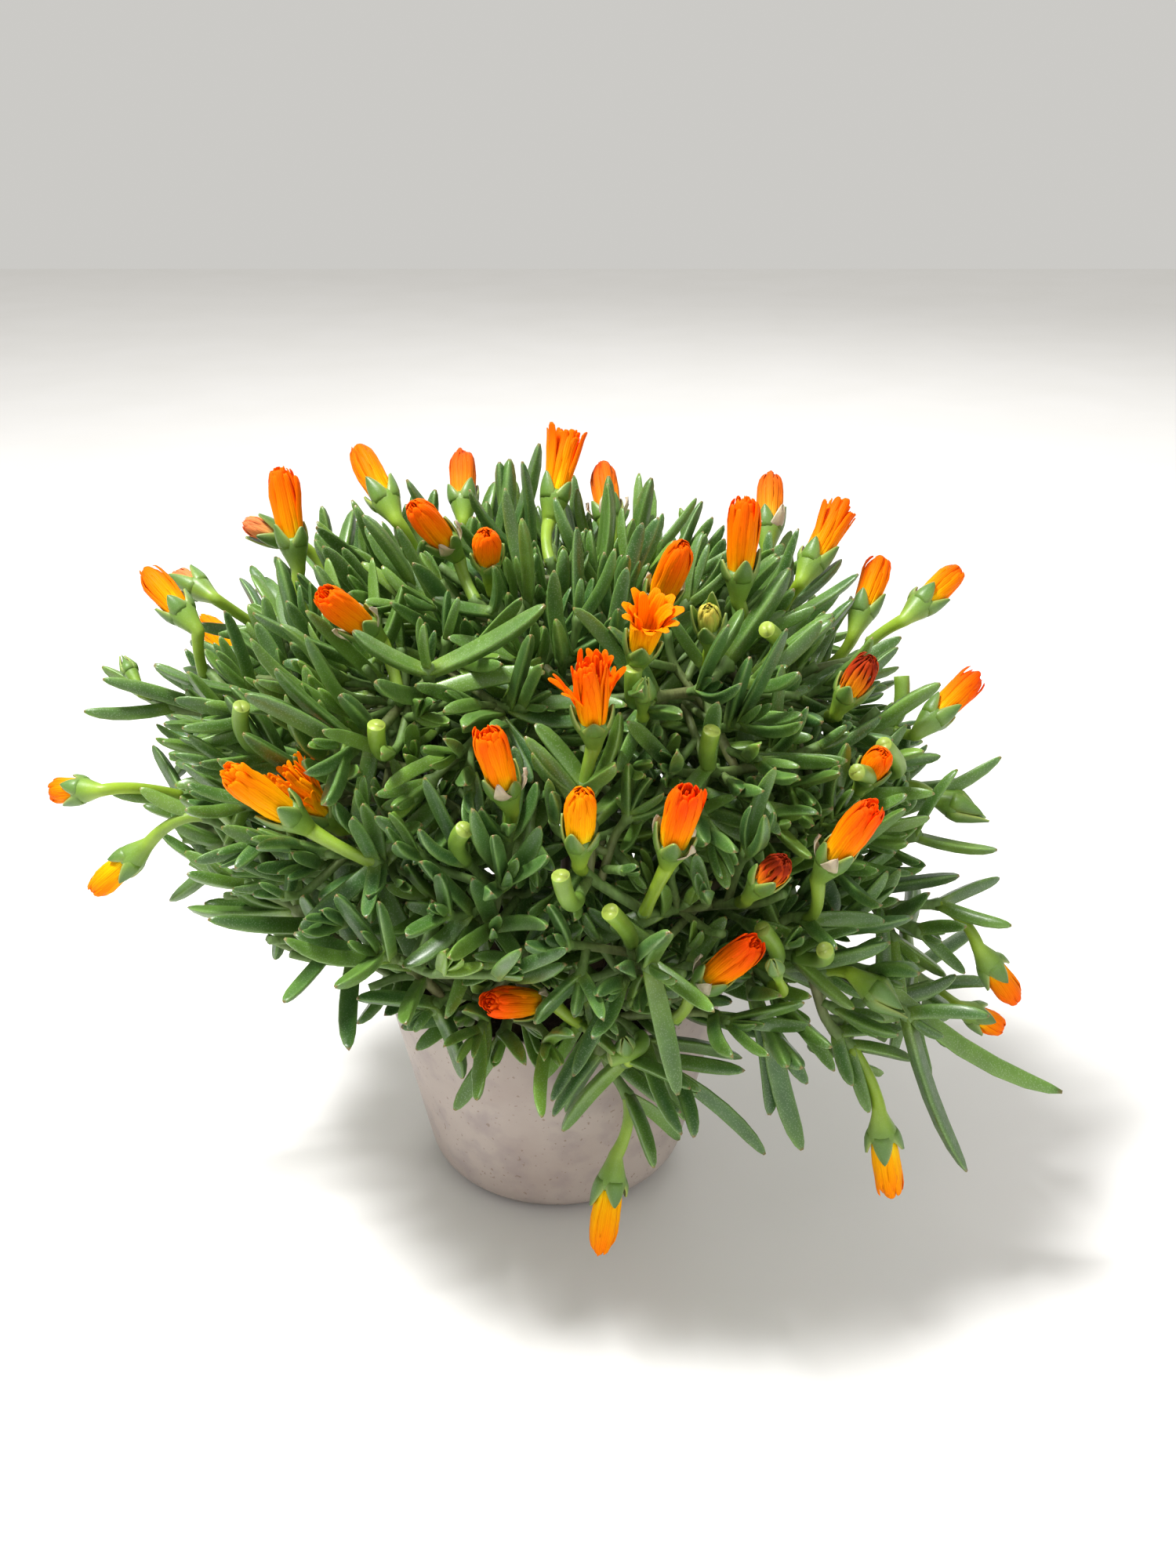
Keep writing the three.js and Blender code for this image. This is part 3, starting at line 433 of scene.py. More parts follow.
REAR_BLOOMS = (
    RearBloom(48, 14, 1),
    RearBloom(84, 34, 0.85, Look.RED),
    RearBloom(112, 2, 1),
    RearBloom(150, 22, 0.9, Look.YELLOW),
)

GREEN_BUDS = (
    Sighting((1267, 1045), (1222, 1028), (1163, 996), depth=-10),
    Sighting((1160, 1295), (1121, 1267), (1064, 1240), depth=-70),
)

CUT_STALKS = (
    Sighting((908, 932), (908, 932), (903, 975)),
    Sighting((778, 1163), (778, 1163), (805, 1200)),
    Sighting((715, 1117), (715, 1117), (735, 1150), push=-8),
    Sighting((972, 1185), (972, 1185), (975, 1230), push=14),
    Sighting((1150, 863), (1150, 863), (1127, 928)),
    Sighting((308, 901), (308, 901), (331, 960)),
    Sighting((778, 1350), (778, 1350), (820, 1325), depth=-80),
)

# Small stubs and green buds among the leaves, beyond those of the solids
MORE_STUBS = (
    Sighting((1093, 985), (1093, 985), (1092, 1010), push=-4),
    Sighting((1127, 950), (1127, 950), (1118, 985), push=-2),
    Sighting((1052, 1212), (1052, 1212), (1022, 1222)),
    Sighting((978, 803), (978, 803), (982, 845), push=-2),
    Sighting((808, 853), (808, 853), (812, 895), push=-2),
    Sighting((480, 925), (480, 925), (492, 962), push=-4),
    Sighting((592, 1058), (592, 1058), (590, 1095)),
)
MORE_BUDS = (
    Sighting((795, 1321), (797, 1332), (806, 1356), depth=-82, size=0.7, slimness=0.6),
    Sighting((824, 862), (822, 880), (822, 915), push=-6, size=0.7, slimness=0.65),
    Sighting((153, 832), (163, 850), (182, 885), size=0.7, slimness=0.55),
    Sighting((985, 1222), (988, 1232), (990, 1262), push=-4, size=0.6, slimness=0.55),
)

# Ends of leafy shoots low at the front and the right, each with its depth
LOW_ENDS: tuple[tuple[Pixel, float], ...] = (
    ((1000, 1285), -72), ((1075, 1290), -60), ((935, 1305), -84), ((1130, 1325), -50),
    ((1185, 1255), -36), ((1060, 1235), -70), ((875, 1335), -86), ((1010, 1225), -78),
    ((1145, 1205), -30), ((1190, 1310), -30), ((700, 1335), -84), ((610, 1320), -76),
    ((1100, 1360), -40),
)

# The line round the foliage, beyond which none of the further leaves reach
FOLIAGE_EDGE: tuple[Pixel, ...] = (
    (100, 400), (100, 780), (150, 815), (128, 858), (168, 872), (134, 890), (196, 918), (176, 938),
    (232, 955), (190, 962), (258, 985), (205, 1000), (165, 1028), (222, 1042), (195, 1060), (262, 1080),
    (238, 1098), (295, 1112), (280, 1150), (330, 1125), (318, 1140), (372, 1165), (332, 1202),
    (398, 1190), (350, 1230), (412, 1205), (432, 1200), (462, 1238), (440, 1268), (480, 1280),
    (448, 1298), (520, 1318), (540, 1380), (600, 1405), (720, 1455), (850, 1500), (980, 1478),
    (1105, 1410), (1170, 1330), (1242, 1370), (1205, 1315), (1268, 1300), (1215, 1265), (1240, 1240),
    (1185, 1225), (1215, 1195), (1180, 1165), (1220, 1140), (1165, 1120), (1192, 1105), (1155, 1085),
    (1206, 1072), (1165, 1058), (1214, 1046), (1180, 1018), (1226, 1000), (1178, 985), (1212, 955),
    (1165, 935), (1200, 915), (1165, 860), (1120, 400),
)


def is_inside(edge: Sequence[Pixel], pixel: Pixel) -> bool:
    """Tells whether a pixel is inside a closed line.

    Args:
        edge: the pixels of the line.
        pixel: the pixel.

    Returns:
        Whether it is inside.
    """
    x, y = pixel
    inside = False
    for (x1, y1), (x2, y2) in zip(edge, (*edge[1:], edge[0])):
        if (y1 > y) != (y2 > y) and x < x1 + (y - y1) * (x2 - x1) / (y2 - y1):
            inside = not inside
    return inside


# Shoots that only bear leaves: the places of their ends along the crown's outline
LEAFY_ENDS: tuple[Pixel, ...] = (
    (650, 672), (560, 722), (470, 765), (350, 790), (262, 852), (212, 900), (830, 765), (1042, 848),
    (1120, 905), (1175, 1062), (1180, 1190), (375, 1080), (480, 1215),
)


@dataclass(frozen=True)
class LongLeaf:
    """One of the longest leaves, from the stem to the tip, at a given depth."""

    root: Pixel
    tip: Pixel
    depth: float


LONG_LEAVES = (
    LongLeaf((1120, 1245), (1360, 1395), -62),
    LongLeaf((1165, 1300), (1235, 1498), -66),
    LongLeaf((985, 1325), (1024, 1470), -78),
    LongLeaf((832, 1235), (865, 1400), -96),
    LongLeaf((865, 1375), (978, 1475), -72),
    LongLeaf((545, 850), (697, 770), -60),
    LongLeaf((430, 950), (310, 885), -70),
    LongLeaf((470, 840), (320, 780), -30),
    LongLeaf((285, 1080), (215, 1150), -20),
    LongLeaf((548, 1290), (590, 1378), -70),
    LongLeaf((640, 1330), (578, 1418), -72),
    LongLeaf((800, 1360), (716, 1445), -76),
    LongLeaf((754, 775), (776, 603), 10),
    LongLeaf((350, 1175), (350, 1225), -20),
)


class Kind(Enum):
    """What grows at the end of a shoot."""

    BLOOM = auto()
    BUD = auto()
    STALK = auto()
    LONG = auto()
    LEAFY = auto()


@dataclass
class Site:
    """Where a bloom, bud or cut stalk is in space."""

    mouth: Vec
    root: Vec
    tip: Vec
    size: float
    kind: Kind
    look: Look = Look.ORANGE
    spread: Spread = Spread.DOMED
    is_hidden: bool = False
    slimness: float = 1
    is_withered: bool = False

    @property
    def axis(self) -> Vec:
        """The way that it points."""
        return unit(self.tip - self.mouth)

    @property
    def length(self) -> float:
        """Length of the petals beyond the calyx's mouth."""
        return length_of(self.tip - self.mouth)

    @property
    def girth(self) -> float:
        """Its thickness against a full-grown bloom's."""
        return between(PLANT.least_girth, 1, self.size) * self.slimness

    @property
    def neck(self) -> Vec:
        """Where the stalk ends and the calyx starts to swell."""
        if self.kind is Kind.STALK:
            return self.mouth
        share = -PLANT.receptacle_length / self.length
        return self.mouth + (self.tip - self.mouth) * share


@dataclass
class LeafPair:
    """A pair of leaves on opposite sides of a node, each as a middle line of three points."""

    centre: Vec
    axis: Vec
    back: float
    side: Vec
    lines: list[tuple[Vec, Vec, Vec]]
    scale: float


@dataclass
class Shoot:
    """A shoot of a stem, with its pairs of leaves and what it bears at its end."""

    end: Vec
    aim: Vec
    stem: int
    number: int
    kind: Kind
    site: Site | None = None
    leaf_tip: Vec | None = None
    line: list[Vec] = field(default_factory=list)
    pairs: list[LeafPair] = field(default_factory=list)
    more: list[LeafPair] = field(default_factory=list)


@dataclass
class Stem:
    """A main stem that stands in the soil."""

    line: list[Vec]
    home: Vec


@dataclass(frozen=True)
class StemRing:
    """Main stems at one distance from the middle of the pot."""

    count: int
    hole: float
    fork: float
    height: float
    elevation: float
    start: float


STEM_RINGS = (
    StemRing(1, 0, 3, 100, 90, 0),
    StemRing(5, 19, 28, 98, 48, 18),
    StemRing(10, 38, 45, 90, 4, 0),
)


@dataclass(frozen=True)
class PairKind:
    """A pair's place and size: how far back it is from the shoot's end, and its ranges."""

    back: float
    angles: tuple[float, float]
    lengths: tuple[float, float]
    scale: float


PAIR_KINDS = (
    PairKind(PLANT.node_back, (26, 40), (20, 28), 0.85),
    PairKind(13, (42, 56), (28, 38), 1),
    PairKind(25, (56, 72), (32, 42), 1),
)
PAIR_AGES = {
    Kind.LEAFY: (0, 1, 2),
    Kind.LONG: (1,),
    Kind.BLOOM: (0, 1),
    Kind.BUD: (0, 1),
    Kind.STALK: (0, 1),
}

# Further pairs between and below those of the solids, from the youngest on
MORE_PAIRS = (
    PairKind(0.6, (9, 17), (9, 16), 0.55),
    PairKind(2.4, (20, 34), (21, 30), 0.78),
    PairKind(7.2, (28, 42), (26, 36), 0.88),
    PairKind(12.4, (34, 50), (29, 40), 0.95),
    PairKind(17.8, (40, 56), (30, 42), 0.98),
    PairKind(24, (44, 62), (31, 43), 0.98),
    PairKind(30, (48, 68), (29, 40), 0.98),
    PairKind(36.5, (52, 74), (26, 37), 0.96),
    PairKind(43.5, (56, 80), (24, 34), 0.93),
    PairKind(51, (58, 84), (22, 32), 0.9),
)


def back_along(points: Sequence[Vec], distance: float) -> tuple[Vec, Vec] | None:
    """Finds a place by its distance back from the end of a line of points.

    Args:
        points: the line.
        distance: how far back along it the place is.

    Returns:
        The place and the line's direction there, or None past its start.
    """
    left = distance
    for i in range(len(points) - 1, 0, -1):
        step = points[i] - points[i - 1]
        stretch = length_of(step)
        axis = unit(step)
        if left < stretch:
            return points[i] - axis * left, axis
        left -= stretch
    return None


def bends_of(points: Sequence[Vec]) -> list[float]:
    """Finds the bends of a line.

    Args:
        points: the line.

    Returns:
        How far back each is from the line's end, nearest first.
    """
    back = 0.0
    places = []
    for last in range(len(points) - 1, 1, -1):
        back += length_of(points[last] - points[last - 1])
        places.append(back)
    return places


def leaf_line(
    centre: Vec, axis: Vec, side: Vec, angle: float, length: float, lift: float = 0
) -> tuple[Vec, Vec, Vec]:
    """Finds the middle line of one leaf.

    Args:
        centre: the leaf's foot on the stem.
        axis: the shoot's direction there.
        side: which way across the shoot the leaf goes.
        angle: its angle to the shoot, in radians.
        length: its length.
        lift: how far its tip rises towards the light, against its length.

    Returns:
        Its foot, shoulder and tip.
    """
    curl = PLANT.leaf_curl
    shoulder = centre + (axis * math.cos(angle) + side * math.sin(angle)) * PLANT.leaf_shoulder * length
    onward = axis * math.cos(angle - curl) + side * math.sin(angle - curl)
    tip = shoulder + onward * (1 - PLANT.leaf_shoulder) * length
    rise = UP * (lift * length)
    return centre, shoulder + rise * PLANT.shoulder_lift, tip + rise


class Clearances:
    """Straight limbs that are in place already, each with the stem and shoot that it belongs to."""

    CAPACITY = 20000
    NO_STEM = -2
    LOOK_SHARES = (0, 0.25, 0.5, 0.75, 1)

    def __init__(self) -> None:
        """Makes room for as many limbs as a plant has."""
        self.count = 0
        self.start = np.zeros((self.CAPACITY, 3))
        self.end = np.zeros((self.CAPACITY, 3))
        self.middle = np.zeros((self.CAPACITY, 3))
        self.radius = np.zeros(self.CAPACITY)
        self.reach = np.zeros(self.CAPACITY)
        self.stem = np.zeros(self.CAPACITY, int)
        self.shoot = np.zeros(self.CAPACITY, int)
        self.wood = np.zeros(self.CAPACITY, bool)

    def put(
        self, points: Sequence[Vec], radii: Sequence[float], stem: int, shoot: int, wood: bool = False
    ) -> None:
        """Adds the stretches of a line of points.

        Args:
            points: the line.
            radii: the radius of each of its stretches.
            stem: the stem that it belongs to.
            shoot: the shoot that it belongs to.
            wood: whether other shoots of the stem may join it.
        """
        for start, end, radius in zip(points, points[1:], radii):
            i = self.count
            self.start[i] = start
            self.end[i] = end
            self.middle[i] = (start + end) / 2
            self.radius[i] = radius
            self.reach[i] = length_of(end - start) / 2 + radius + POT.gap
            self.stem[i] = stem
            self.shoot[i] = shoot
            self.wood[i] = wood
            self.count += 1

    def room_from_pot(self, start: Vec, end: Vec, radius: float) -> float:
        """Finds how far a limb stays off the ground, the pot and the soil.

        Args:
            start: where it starts.
            end: where it ends.
            radius: its radius.

        Returns:
            The least room, which is below zero where it touches them.
        """
        least = math.inf
        for share in self.LOOK_SHARES:
            point = start + (end - start) * share
            reach = math.hypot(point[0], point[1])
            over = point[2] - POT.height
            beside = reach - POT.radius_at(max(point[2], 0))
            inside = min(POT.rim_radius - POT.wall - reach, point[2] - POT.soil_crown)
            off_ground = point[2] - ROOMS.ground - radius
            least = min(least, max(over, beside, inside) - radius, off_ground)
        return least

    def within(self, centre: Vec, reach: float) -> np.ndarray:
        """Finds the limbs that come within reach of a point.

        Args:
            centre: the point.
            reach: the reach.

        Returns:
            Their numbers.
        """
        n = self.count
        offset = self.middle[:n] - centre
        reaches = self.reach[:n] + reach
        return np.nonzero(np.einsum("ij,ij->i", offset, offset) < reaches * reaches)[0]

    def room(
        self,
        points: Sequence[Vec],
        radii: Sequence[float],
        stem: int,
        shoot: int,
        among: np.ndarray | None = None,
    ) -> float:
        """Finds the least room that a line of points has to all that is placed.

        Args:
            points: the line.
            radii: the radius of each of its stretches.
            stem: the stem whose wood it may join, or NO_STEM for a leaf.
            shoot: the shoot that it belongs to, whose own limbs don't count.
            among: the limbs to look at, or None for all of them.

        Returns:
            The least room, which is below zero where something is too near. Room above zero isn't exact.
        """
        if among is None:
            among = np.arange(self.count)
        own = self.shoot[among] == shoot
        own |= self.wood[among] & (self.stem[among] == stem)
        among = among[~own]
        middles = self.middle[among]
        reaches = self.reach[among]
        least = math.inf
        for start, end, radius in zip(points, points[1:], radii):
            least = min(least, self.room_from_pot(start, end, radius) - POT.gap)
            offset = middles - (start + end) / 2
            reach = reaches + (length_of(end - start) / 2 + radius)
            near = among[np.einsum("ij,ij->i", offset, offset) < reach * reach]
            if near.size:
                apart = self.distances(start, end, self.start[near], self.end[near])
                least = min(least, float((apart - radius - self.radius[near]).min()) - POT.gap)
        return least

    @staticmethod
    def distances(a: Vec, b: Vec, c: np.ndarray, d: np.ndarray) -> np.ndarray:
        """Finds the shortest distances between one stretch and many.

        Args:
            a: the start of the one.
            b: its end.
            c: the starts of the many, as n x 3.
            d: their ends.

        Returns:
            The n distances.
        """
        first = b - a
        second = d - c
        apart = a - c
        aa = first @ first
        bb = (second * second).sum(1)
        ab = second @ first
        ac = apart @ first
        bc = (second * apart).sum(1)
        spread = aa * bb - ab * ab
        skew = spread > np.finfo(float).eps
        s = np.where(skew, np.clip((ab * bc - ac * bb) / np.where(skew, spread, 1), 0, 1), 0)
        t = np.clip((ab * s + bc) / bb, 0, 1)
        s = np.clip((ab * t - ac) / aa, 0, 1)
        gap = (a + s[:, None] * first) - (c + t[:, None] * second)
        return np.sqrt((gap * gap).sum(1))


@dataclass(frozen=True)
class GrowthRule:
    """Numbers of the rule that places shoots and leaves."""

    branch_shares: tuple[float, ...] = (0.3, 0.6, 0.9)
    near_branch: float = 24
    shoot_tries: int = 24
    tries_per_start: int = 3
    elbow_share: float = 0.4
    elbow_lift: float = 5
    lengths_to_bend: tuple[float, ...] = (18, 50)
    pair_tries: int = 11
    pair_turn: float = math.radians(17)
    pair_shrink: float = 0.03
    sepal_reach: float = 0.15
    leaf_advance: float = 6
    long_outward: float = 0.8
    shoot_rise: float = 0.35
    stalk_spread: float = 8
    short_leaf_angle: float = math.radians(50)
    short_leaf_length: float = 24
    fill_tries: int = 900
    fill_spacing: float = 26
    fill_swell: float = 0.8
    lowest_fill: float = -0.42
    low_waist: float = 0.7


RULE = GrowthRule()
BEND_ROOM = 1.4 * PLANT.node_half


@dataclass(frozen=True)
class MoreGrowth:
    """Numbers of the rule for the leaves that fill the crown beyond those of the solids."""

    rooms: tuple[tuple[float, float], ...] = ((2.0, 1.2), (1.2, 0.8))
    node_spacing: float = 4.2
    shoot_tries: int = 3000
    shells: tuple[tuple[float, float], ...] = ((0.86, 11), (0.75, 11.5), (0.63, 13), (0.5, 15), (0.36, 18))
    line_tries: int = 9
    radius: float = 1.2
    least_room: float = -0.5
    wander: float = 0.55
    lifts: tuple[float, float] = (-0.04, 0.34)
    shorter: tuple[float, ...] = (1, 0.72)
    pair_tries: int = 9
    rise: float = 0.8
    stalk_sight: tuple[float, ...] = (4, 9, 15, 22)
    stalk_sight_radius: float = 2.6
    head_sight: tuple[float, ...] = (9, 17, 26)
    head_sight_radius: float = 4


MORE = MoreGrowth()


@dataclass(frozen=True)
class PairPlan:
    """How a pair of leaves is to stand, before it is turned or shortened to be clear.

    Attributes:
        back: how far it is from the shoot's end.
        scale: its leaves' width against a full-grown leaf's.
        turn: where round the shoot the first leaf stands, in radians.
        angle: each leaf's angle to the shoot, in radians.
        length: length of each leaf.
        rooms: clearance radii of a leaf's body and of its tip.
        tries: how many turns and lengths are tried.
        lift: how far each leaf's tip rises, against its length.
    """

    back: float
    scale: float
    turn: float
    angle: float
    length: float
    rooms: tuple[float, float]
    tries: int
    lift: float = 0


class Plant:
    """Stems, shoots, leaves and blooms in their places."""

    def __init__(self) -> None:
        """Grows the plant, the solids' shoots and leaves before the further ones."""
        self.placed = Clearances()
        self.stems: list[Stem] = []
        self.shoots: list[Shoot] = []
        self.side_shoots: list[Shoot] = []
        self._grow_stems()
        self._place_sites()
        self._place_long_leaves()
        self._fill_crown()
        self._grow_shoots()
        self._grow_long_leaves()
        self._grow_pairs()
        self._keep_sight_clear()
        self._grow_little_stalks()
        self._grow_side_shoots()
        self._grow_more_pairs()

    def _grow_stems(self) -> None:
        """Stands the main stems in the soil."""
        for row in STEM_RINGS:
            for i in range(row.count):
                turn = math.radians(row.start + (360 * i) / row.count)
                way = vec(math.cos(turn), math.sin(turn), 0)
                rise = math.radians(row.elevation)
                foot = way * row.hole
                line = [
                    vec(foot[0], foot[1], POT.hole_floor + POT.gap),
                    vec(foot[0], foot[1], POT.soil_crown + PLANT.stem_rise),
                    way * row.fork + UP * row.height,
                ]
                home = way * math.cos(rise) + UP * math.sin(rise)
                self.placed.put(line, [PLANT.stem_radius] * 2, len(self.stems), -1, wood=True)
                self.stems.append(Stem(line, home))

    def _stem_for(self, point: Vec) -> int:
        """Returns the number of the stem that bears a shoot to a point."""
        way = unit(point - GROWTH_CENTRE)
        nearness = [stem.home @ way for stem in self.stems]
        return nearness.index(max(nearness))

    @staticmethod
    def _along_sight(pixel: Pixel, start: Vec, distance: float) -> Vec:
        """Finds the point of a sight line at a distance from a start.

        Args:
            pixel: where the photograph shows the point.
            start: the place that the distance is measured from.
            distance: how far away the point is.

        Returns:
            The one of the two such points that lies outwards, or the nearest point if there is none.
        """
        line = VIEW.sight_line(pixel)
        eye = np.array(VIEW.eye, float)
        foot = eye + line * ((start - eye) @ line)
        short = length_of(foot - start)
        slide = math.sqrt(distance * distance - short * short) if short < distance else 0.0
        return foot + line * (-slide if CROWN.outward(start) @ line < 0 else slide)

    def _site_from(self, row: Sighting, length: float, kind: Kind) -> Site:
        """Finds where a bloom, bud or cut stalk of the photograph is.

        Args:
            row: what the photograph shows.
            length: length of a full-grown one beyond its calyx.
            kind: what it is.

        Returns:
            Its place.
        """
        if row.depth is None:
            mouth = CROWN.seen_at(row.mouth, CROWN.mouth_swell, row.push)
            root = CROWN.seen_at(row.root, CROWN.root_swell, row.push)
        else:
            mouth = VIEW.at_depth(row.mouth, row.depth)
            root = VIEW.at_depth(row.root, row.depth + CROWN.root_set_back)
        tip = self._along_sight(row.tip, mouth, length * row.size)
        own = (row.look, row.spread, row.is_hidden, row.slimness, row.is_withered)
        return Site(mouth, root, tip, row.size, kind, *own)

    @staticmethod
    def _rear_site(row: RearBloom) -> Site:
        """Finds where a bloom on the far side is.

        Args:
            row: its direction, size and look.

        Returns:
            Its place.
        """
        turn = math.radians(row.azimuth)
        rise = math.radians(row.elevation)
        way = vec(math.cos(rise) * math.cos(turn), math.cos(rise) * math.sin(turn), math.sin(rise))
        on_shell = way * np.array(CROWN.radii)
        centre = np.array(CROWN.centre, float)
        mouth = on_shell * CROWN.mouth_swell + centre
        tip = mouth + unit(way + UP * CROWN.rear_lift) * PLANT.petal_length * row.size
        return Site(mouth, on_shell * CROWN.root_swell + centre, tip, row.size, Kind.BLOOM, row.look)

    def _place_sites(self) -> None:
        """Keeps room for each bloom, bud and cut stalk, and starts a shoot to it."""
        sites = [self._site_from(row, PLANT.petal_length, Kind.BLOOM) for row in BLOOMS]
        sites += [self._rear_site(row) for row in REAR_BLOOMS]
        sites += [self._site_from(row, PLANT.bud_length, Kind.BUD) for row in GREEN_BUDS]
        sites += [self._site_from(row, 0, Kind.STALK) for row in CUT_STALKS]
        for number, site in enumerate(sites):
            stem = self._stem_for(site.root)
            self.placed.put([site.root, site.neck], [PLANT.peduncle_radius], stem, number)
            if site.kind is not Kind.STALK:
                sepals = site.mouth + (site.tip - site.mouth) * RULE.sepal_reach
                self.placed.put([site.neck, sepals], [ROOMS.calyx], stem, number)
            if site.kind is Kind.BLOOM:
                self.placed.put([site.mouth, site.tip], [ROOMS.petal], -1, -2 - number)
            aim = CROWN.outward(site.root)
            self.shoots.append(Shoot(site.root, aim, stem, number, site.kind, site))

    def _place_long_leaves(self) -> None:
        """Starts a shoot to each of the longest leaves."""
        for row in LONG_LEAVES:
            end = VIEW.at_depth(row.root, row.depth)
            tip = VIEW.at_depth(row.tip, row.depth - RULE.leaf_advance)
            aim = unit(tip - end) + CROWN.outward(end) * RULE.long_outward
            number = len(self.shoots)
            self.shoots.append(Shoot(end, aim, self._stem_for(end), number, Kind.LONG, leaf_tip=tip))

    def _add_leafy(self, end: Vec) -> None:
        """Starts a shoot that only bears leaves."""
        number = len(self.shoots)
        self.shoots.append(Shoot(end, CROWN.outward(end), self._stem_for(end), number, Kind.LEAFY))

    def _fill_crown(self) -> None:
        """Starts leafy shoots along the outline and wherever the crown has none near."""
        for pixel in LEAFY_ENDS:
            self._add_leafy(CROWN.seen_at(pixel, CROWN.tip_swell, 0))
        for i in range(RULE.fill_tries):
            end = self._shell_point(i, RULE.fill_tries, RULE.fill_swell)
            if all(length_of(shoot.end - end) > RULE.fill_spacing for shoot in self.shoots):
                self._add_leafy(end)

    @staticmethod
    def _shell_point(i: int, count: int, swell: float) -> Vec:
        """Finds one of many points spread evenly over a shell of the crown.

        Args:
            i: the point's number, from the top down.
            count: how many there are.
            swell: the shell's size against the crown's.

        Returns:
            The point.
        """
        rise = between(1, RULE.lowest_fill, (i + 0.5) / count)
        flat = math.sqrt(1 - rise * rise)
        turn = i * GOLDEN_TURN
        way = vec(flat * math.cos(turn), flat * math.sin(turn), rise)
        waist = between(1, RULE.low_waist, max(-rise, 0) / -RULE.lowest_fill)
        return way * np.array(CROWN.radii) * swell * vec(waist, waist, 1) + np.array(CROWN.centre)

    def _branch_points(self, stem: int, end: Vec) -> list[Vec]:
        """Finds where on a stem's wood a shoot could start.

        Args:
            stem: the stem's number.
            end: where the shoot ends.

        Returns:
            The places, the nearest from which it leads outwards first.
        """
        way = CROWN.outward(end)
        n = self.placed.count
        start = self.placed.start[:n]
        fits = (self.placed.stem[:n] == stem) & self.placed.wood[:n] & (start[:, 2] > POT.soil_crown)
        start = start[fits][:, None]
        stretch = self.placed.end[:n][fits][:, None] - start
        points = (start + stretch * np.array(RULE.branch_shares)[:, None]).reshape(-1, 3)
        reach = end - points
        lengths = np.sqrt((reach * reach).sum(1))
        costs = np.maximum(lengths, RULE.near_branch) * (2 - (reach / lengths[:, None]) @ way)
        return list(points[np.argsort(costs, kind="stable")])

    def _shoot_line(self, shoot: Shoot, aim: Vec, radius: float, tries: int) -> tuple[float, list[Vec]]:
        """Bends a shoot until it is clear of all that is placed.

        Args:
            shoot: the shoot.
            aim: its direction at its end.
            radius: its radius.
            tries: how many bends and starts are tried.

        Returns:
            The room that the best line has, which is below zero if it touches something, and the line.
        """
        starts = self._branch_points(shoot.stem, shoot.end)
        best_room = -math.inf
        best: list[Vec] = []
        for attempt in range(tries):
            start = starts[min(attempt // RULE.tries_per_start, len(starts) - 1)]
            length = length_of(shoot.end - start)
            elbow = shoot.end - aim * (RULE.elbow_share * length)
            sway_x = draw(shoot.number, Draw.ELBOW_X + attempt)
            sway_y = draw(shoot.number, Draw.ELBOW_Y + attempt)
            elbow = elbow + vec(
                between(-1, 1, sway_x) * attempt,
                between(-1, 1, sway_y) * attempt,
                RULE.elbow_lift * (attempt % RULE.tries_per_start),
            )
            bends = 1 + sum(length > least for least in RULE.lengths_to_bend)
            points = []
            for i in range(bends + 1):
                t = i / bends
                points.append(start * (1 - t) ** 2 + elbow * (2 * (1 - t) * t) + shoot.end * t**2)
            room = self.placed.room(points, [radius] * bends, shoot.stem, shoot.number)
            if room > best_room:
                best_room, best = room, points
            if best_room >= 0:
                break
        return best_room, best

    def _grow_shoots(self) -> None:
        """Grows the wood of the solids' shoots, the shortest reach first."""
        for shoot in sorted(self.shoots, key=lambda one: length_of(one.end - GROWTH_CENTRE)):
            rise = 0 if shoot.kind is Kind.LONG else RULE.shoot_rise
            aim = unit(shoot.aim + UP * rise)
            _, shoot.line = self._shoot_line(shoot, aim, PLANT.shoot_radius, RULE.shoot_tries)
            radii = [PLANT.shoot_radius] * (len(shoot.line) - 1)
            self.placed.put(shoot.line, radii, shoot.stem, shoot.number, wood=True)

    def _put_leaves(self, shoot: Shoot, pair: LeafPair, rooms: tuple[float, float]) -> None:
        """Keeps the room of a pair of leaves.

        Args:
            shoot: the shoot that bears it.
            pair: the pair.
            rooms: clearance radii of a full-grown leaf's body and of its tip.
        """
        radii = [room * pair.scale for room in rooms]
        for line in pair.lines:
            self.placed.put(line, radii, shoot.stem, shoot.number)

    def _grow_long_leaves(self) -> None:
        """Grows the longest leaves, each with a short one on the other side."""
        for shoot in self.shoots:
            if shoot.leaf_tip is None:
                continue
            centre, axis = back_along(shoot.line, PLANT.node_back)
            reach = shoot.leaf_tip - centre
            side = unit(reach - axis * (reach @ axis))
            angle = math.acos(unit(reach) @ axis) + PLANT.leaf_curl * (1 - PLANT.leaf_shoulder)
            lines = [
                leaf_line(centre, axis, side, angle, length_of(reach)),
                leaf_line(centre, axis, -side, RULE.short_leaf_angle, RULE.short_leaf_length),
            ]
            pair = LeafPair(centre, axis, PLANT.node_back, side, lines, 1)
            self._put_leaves(shoot, pair, ROOMS.pair)
            shoot.pairs.append(pair)

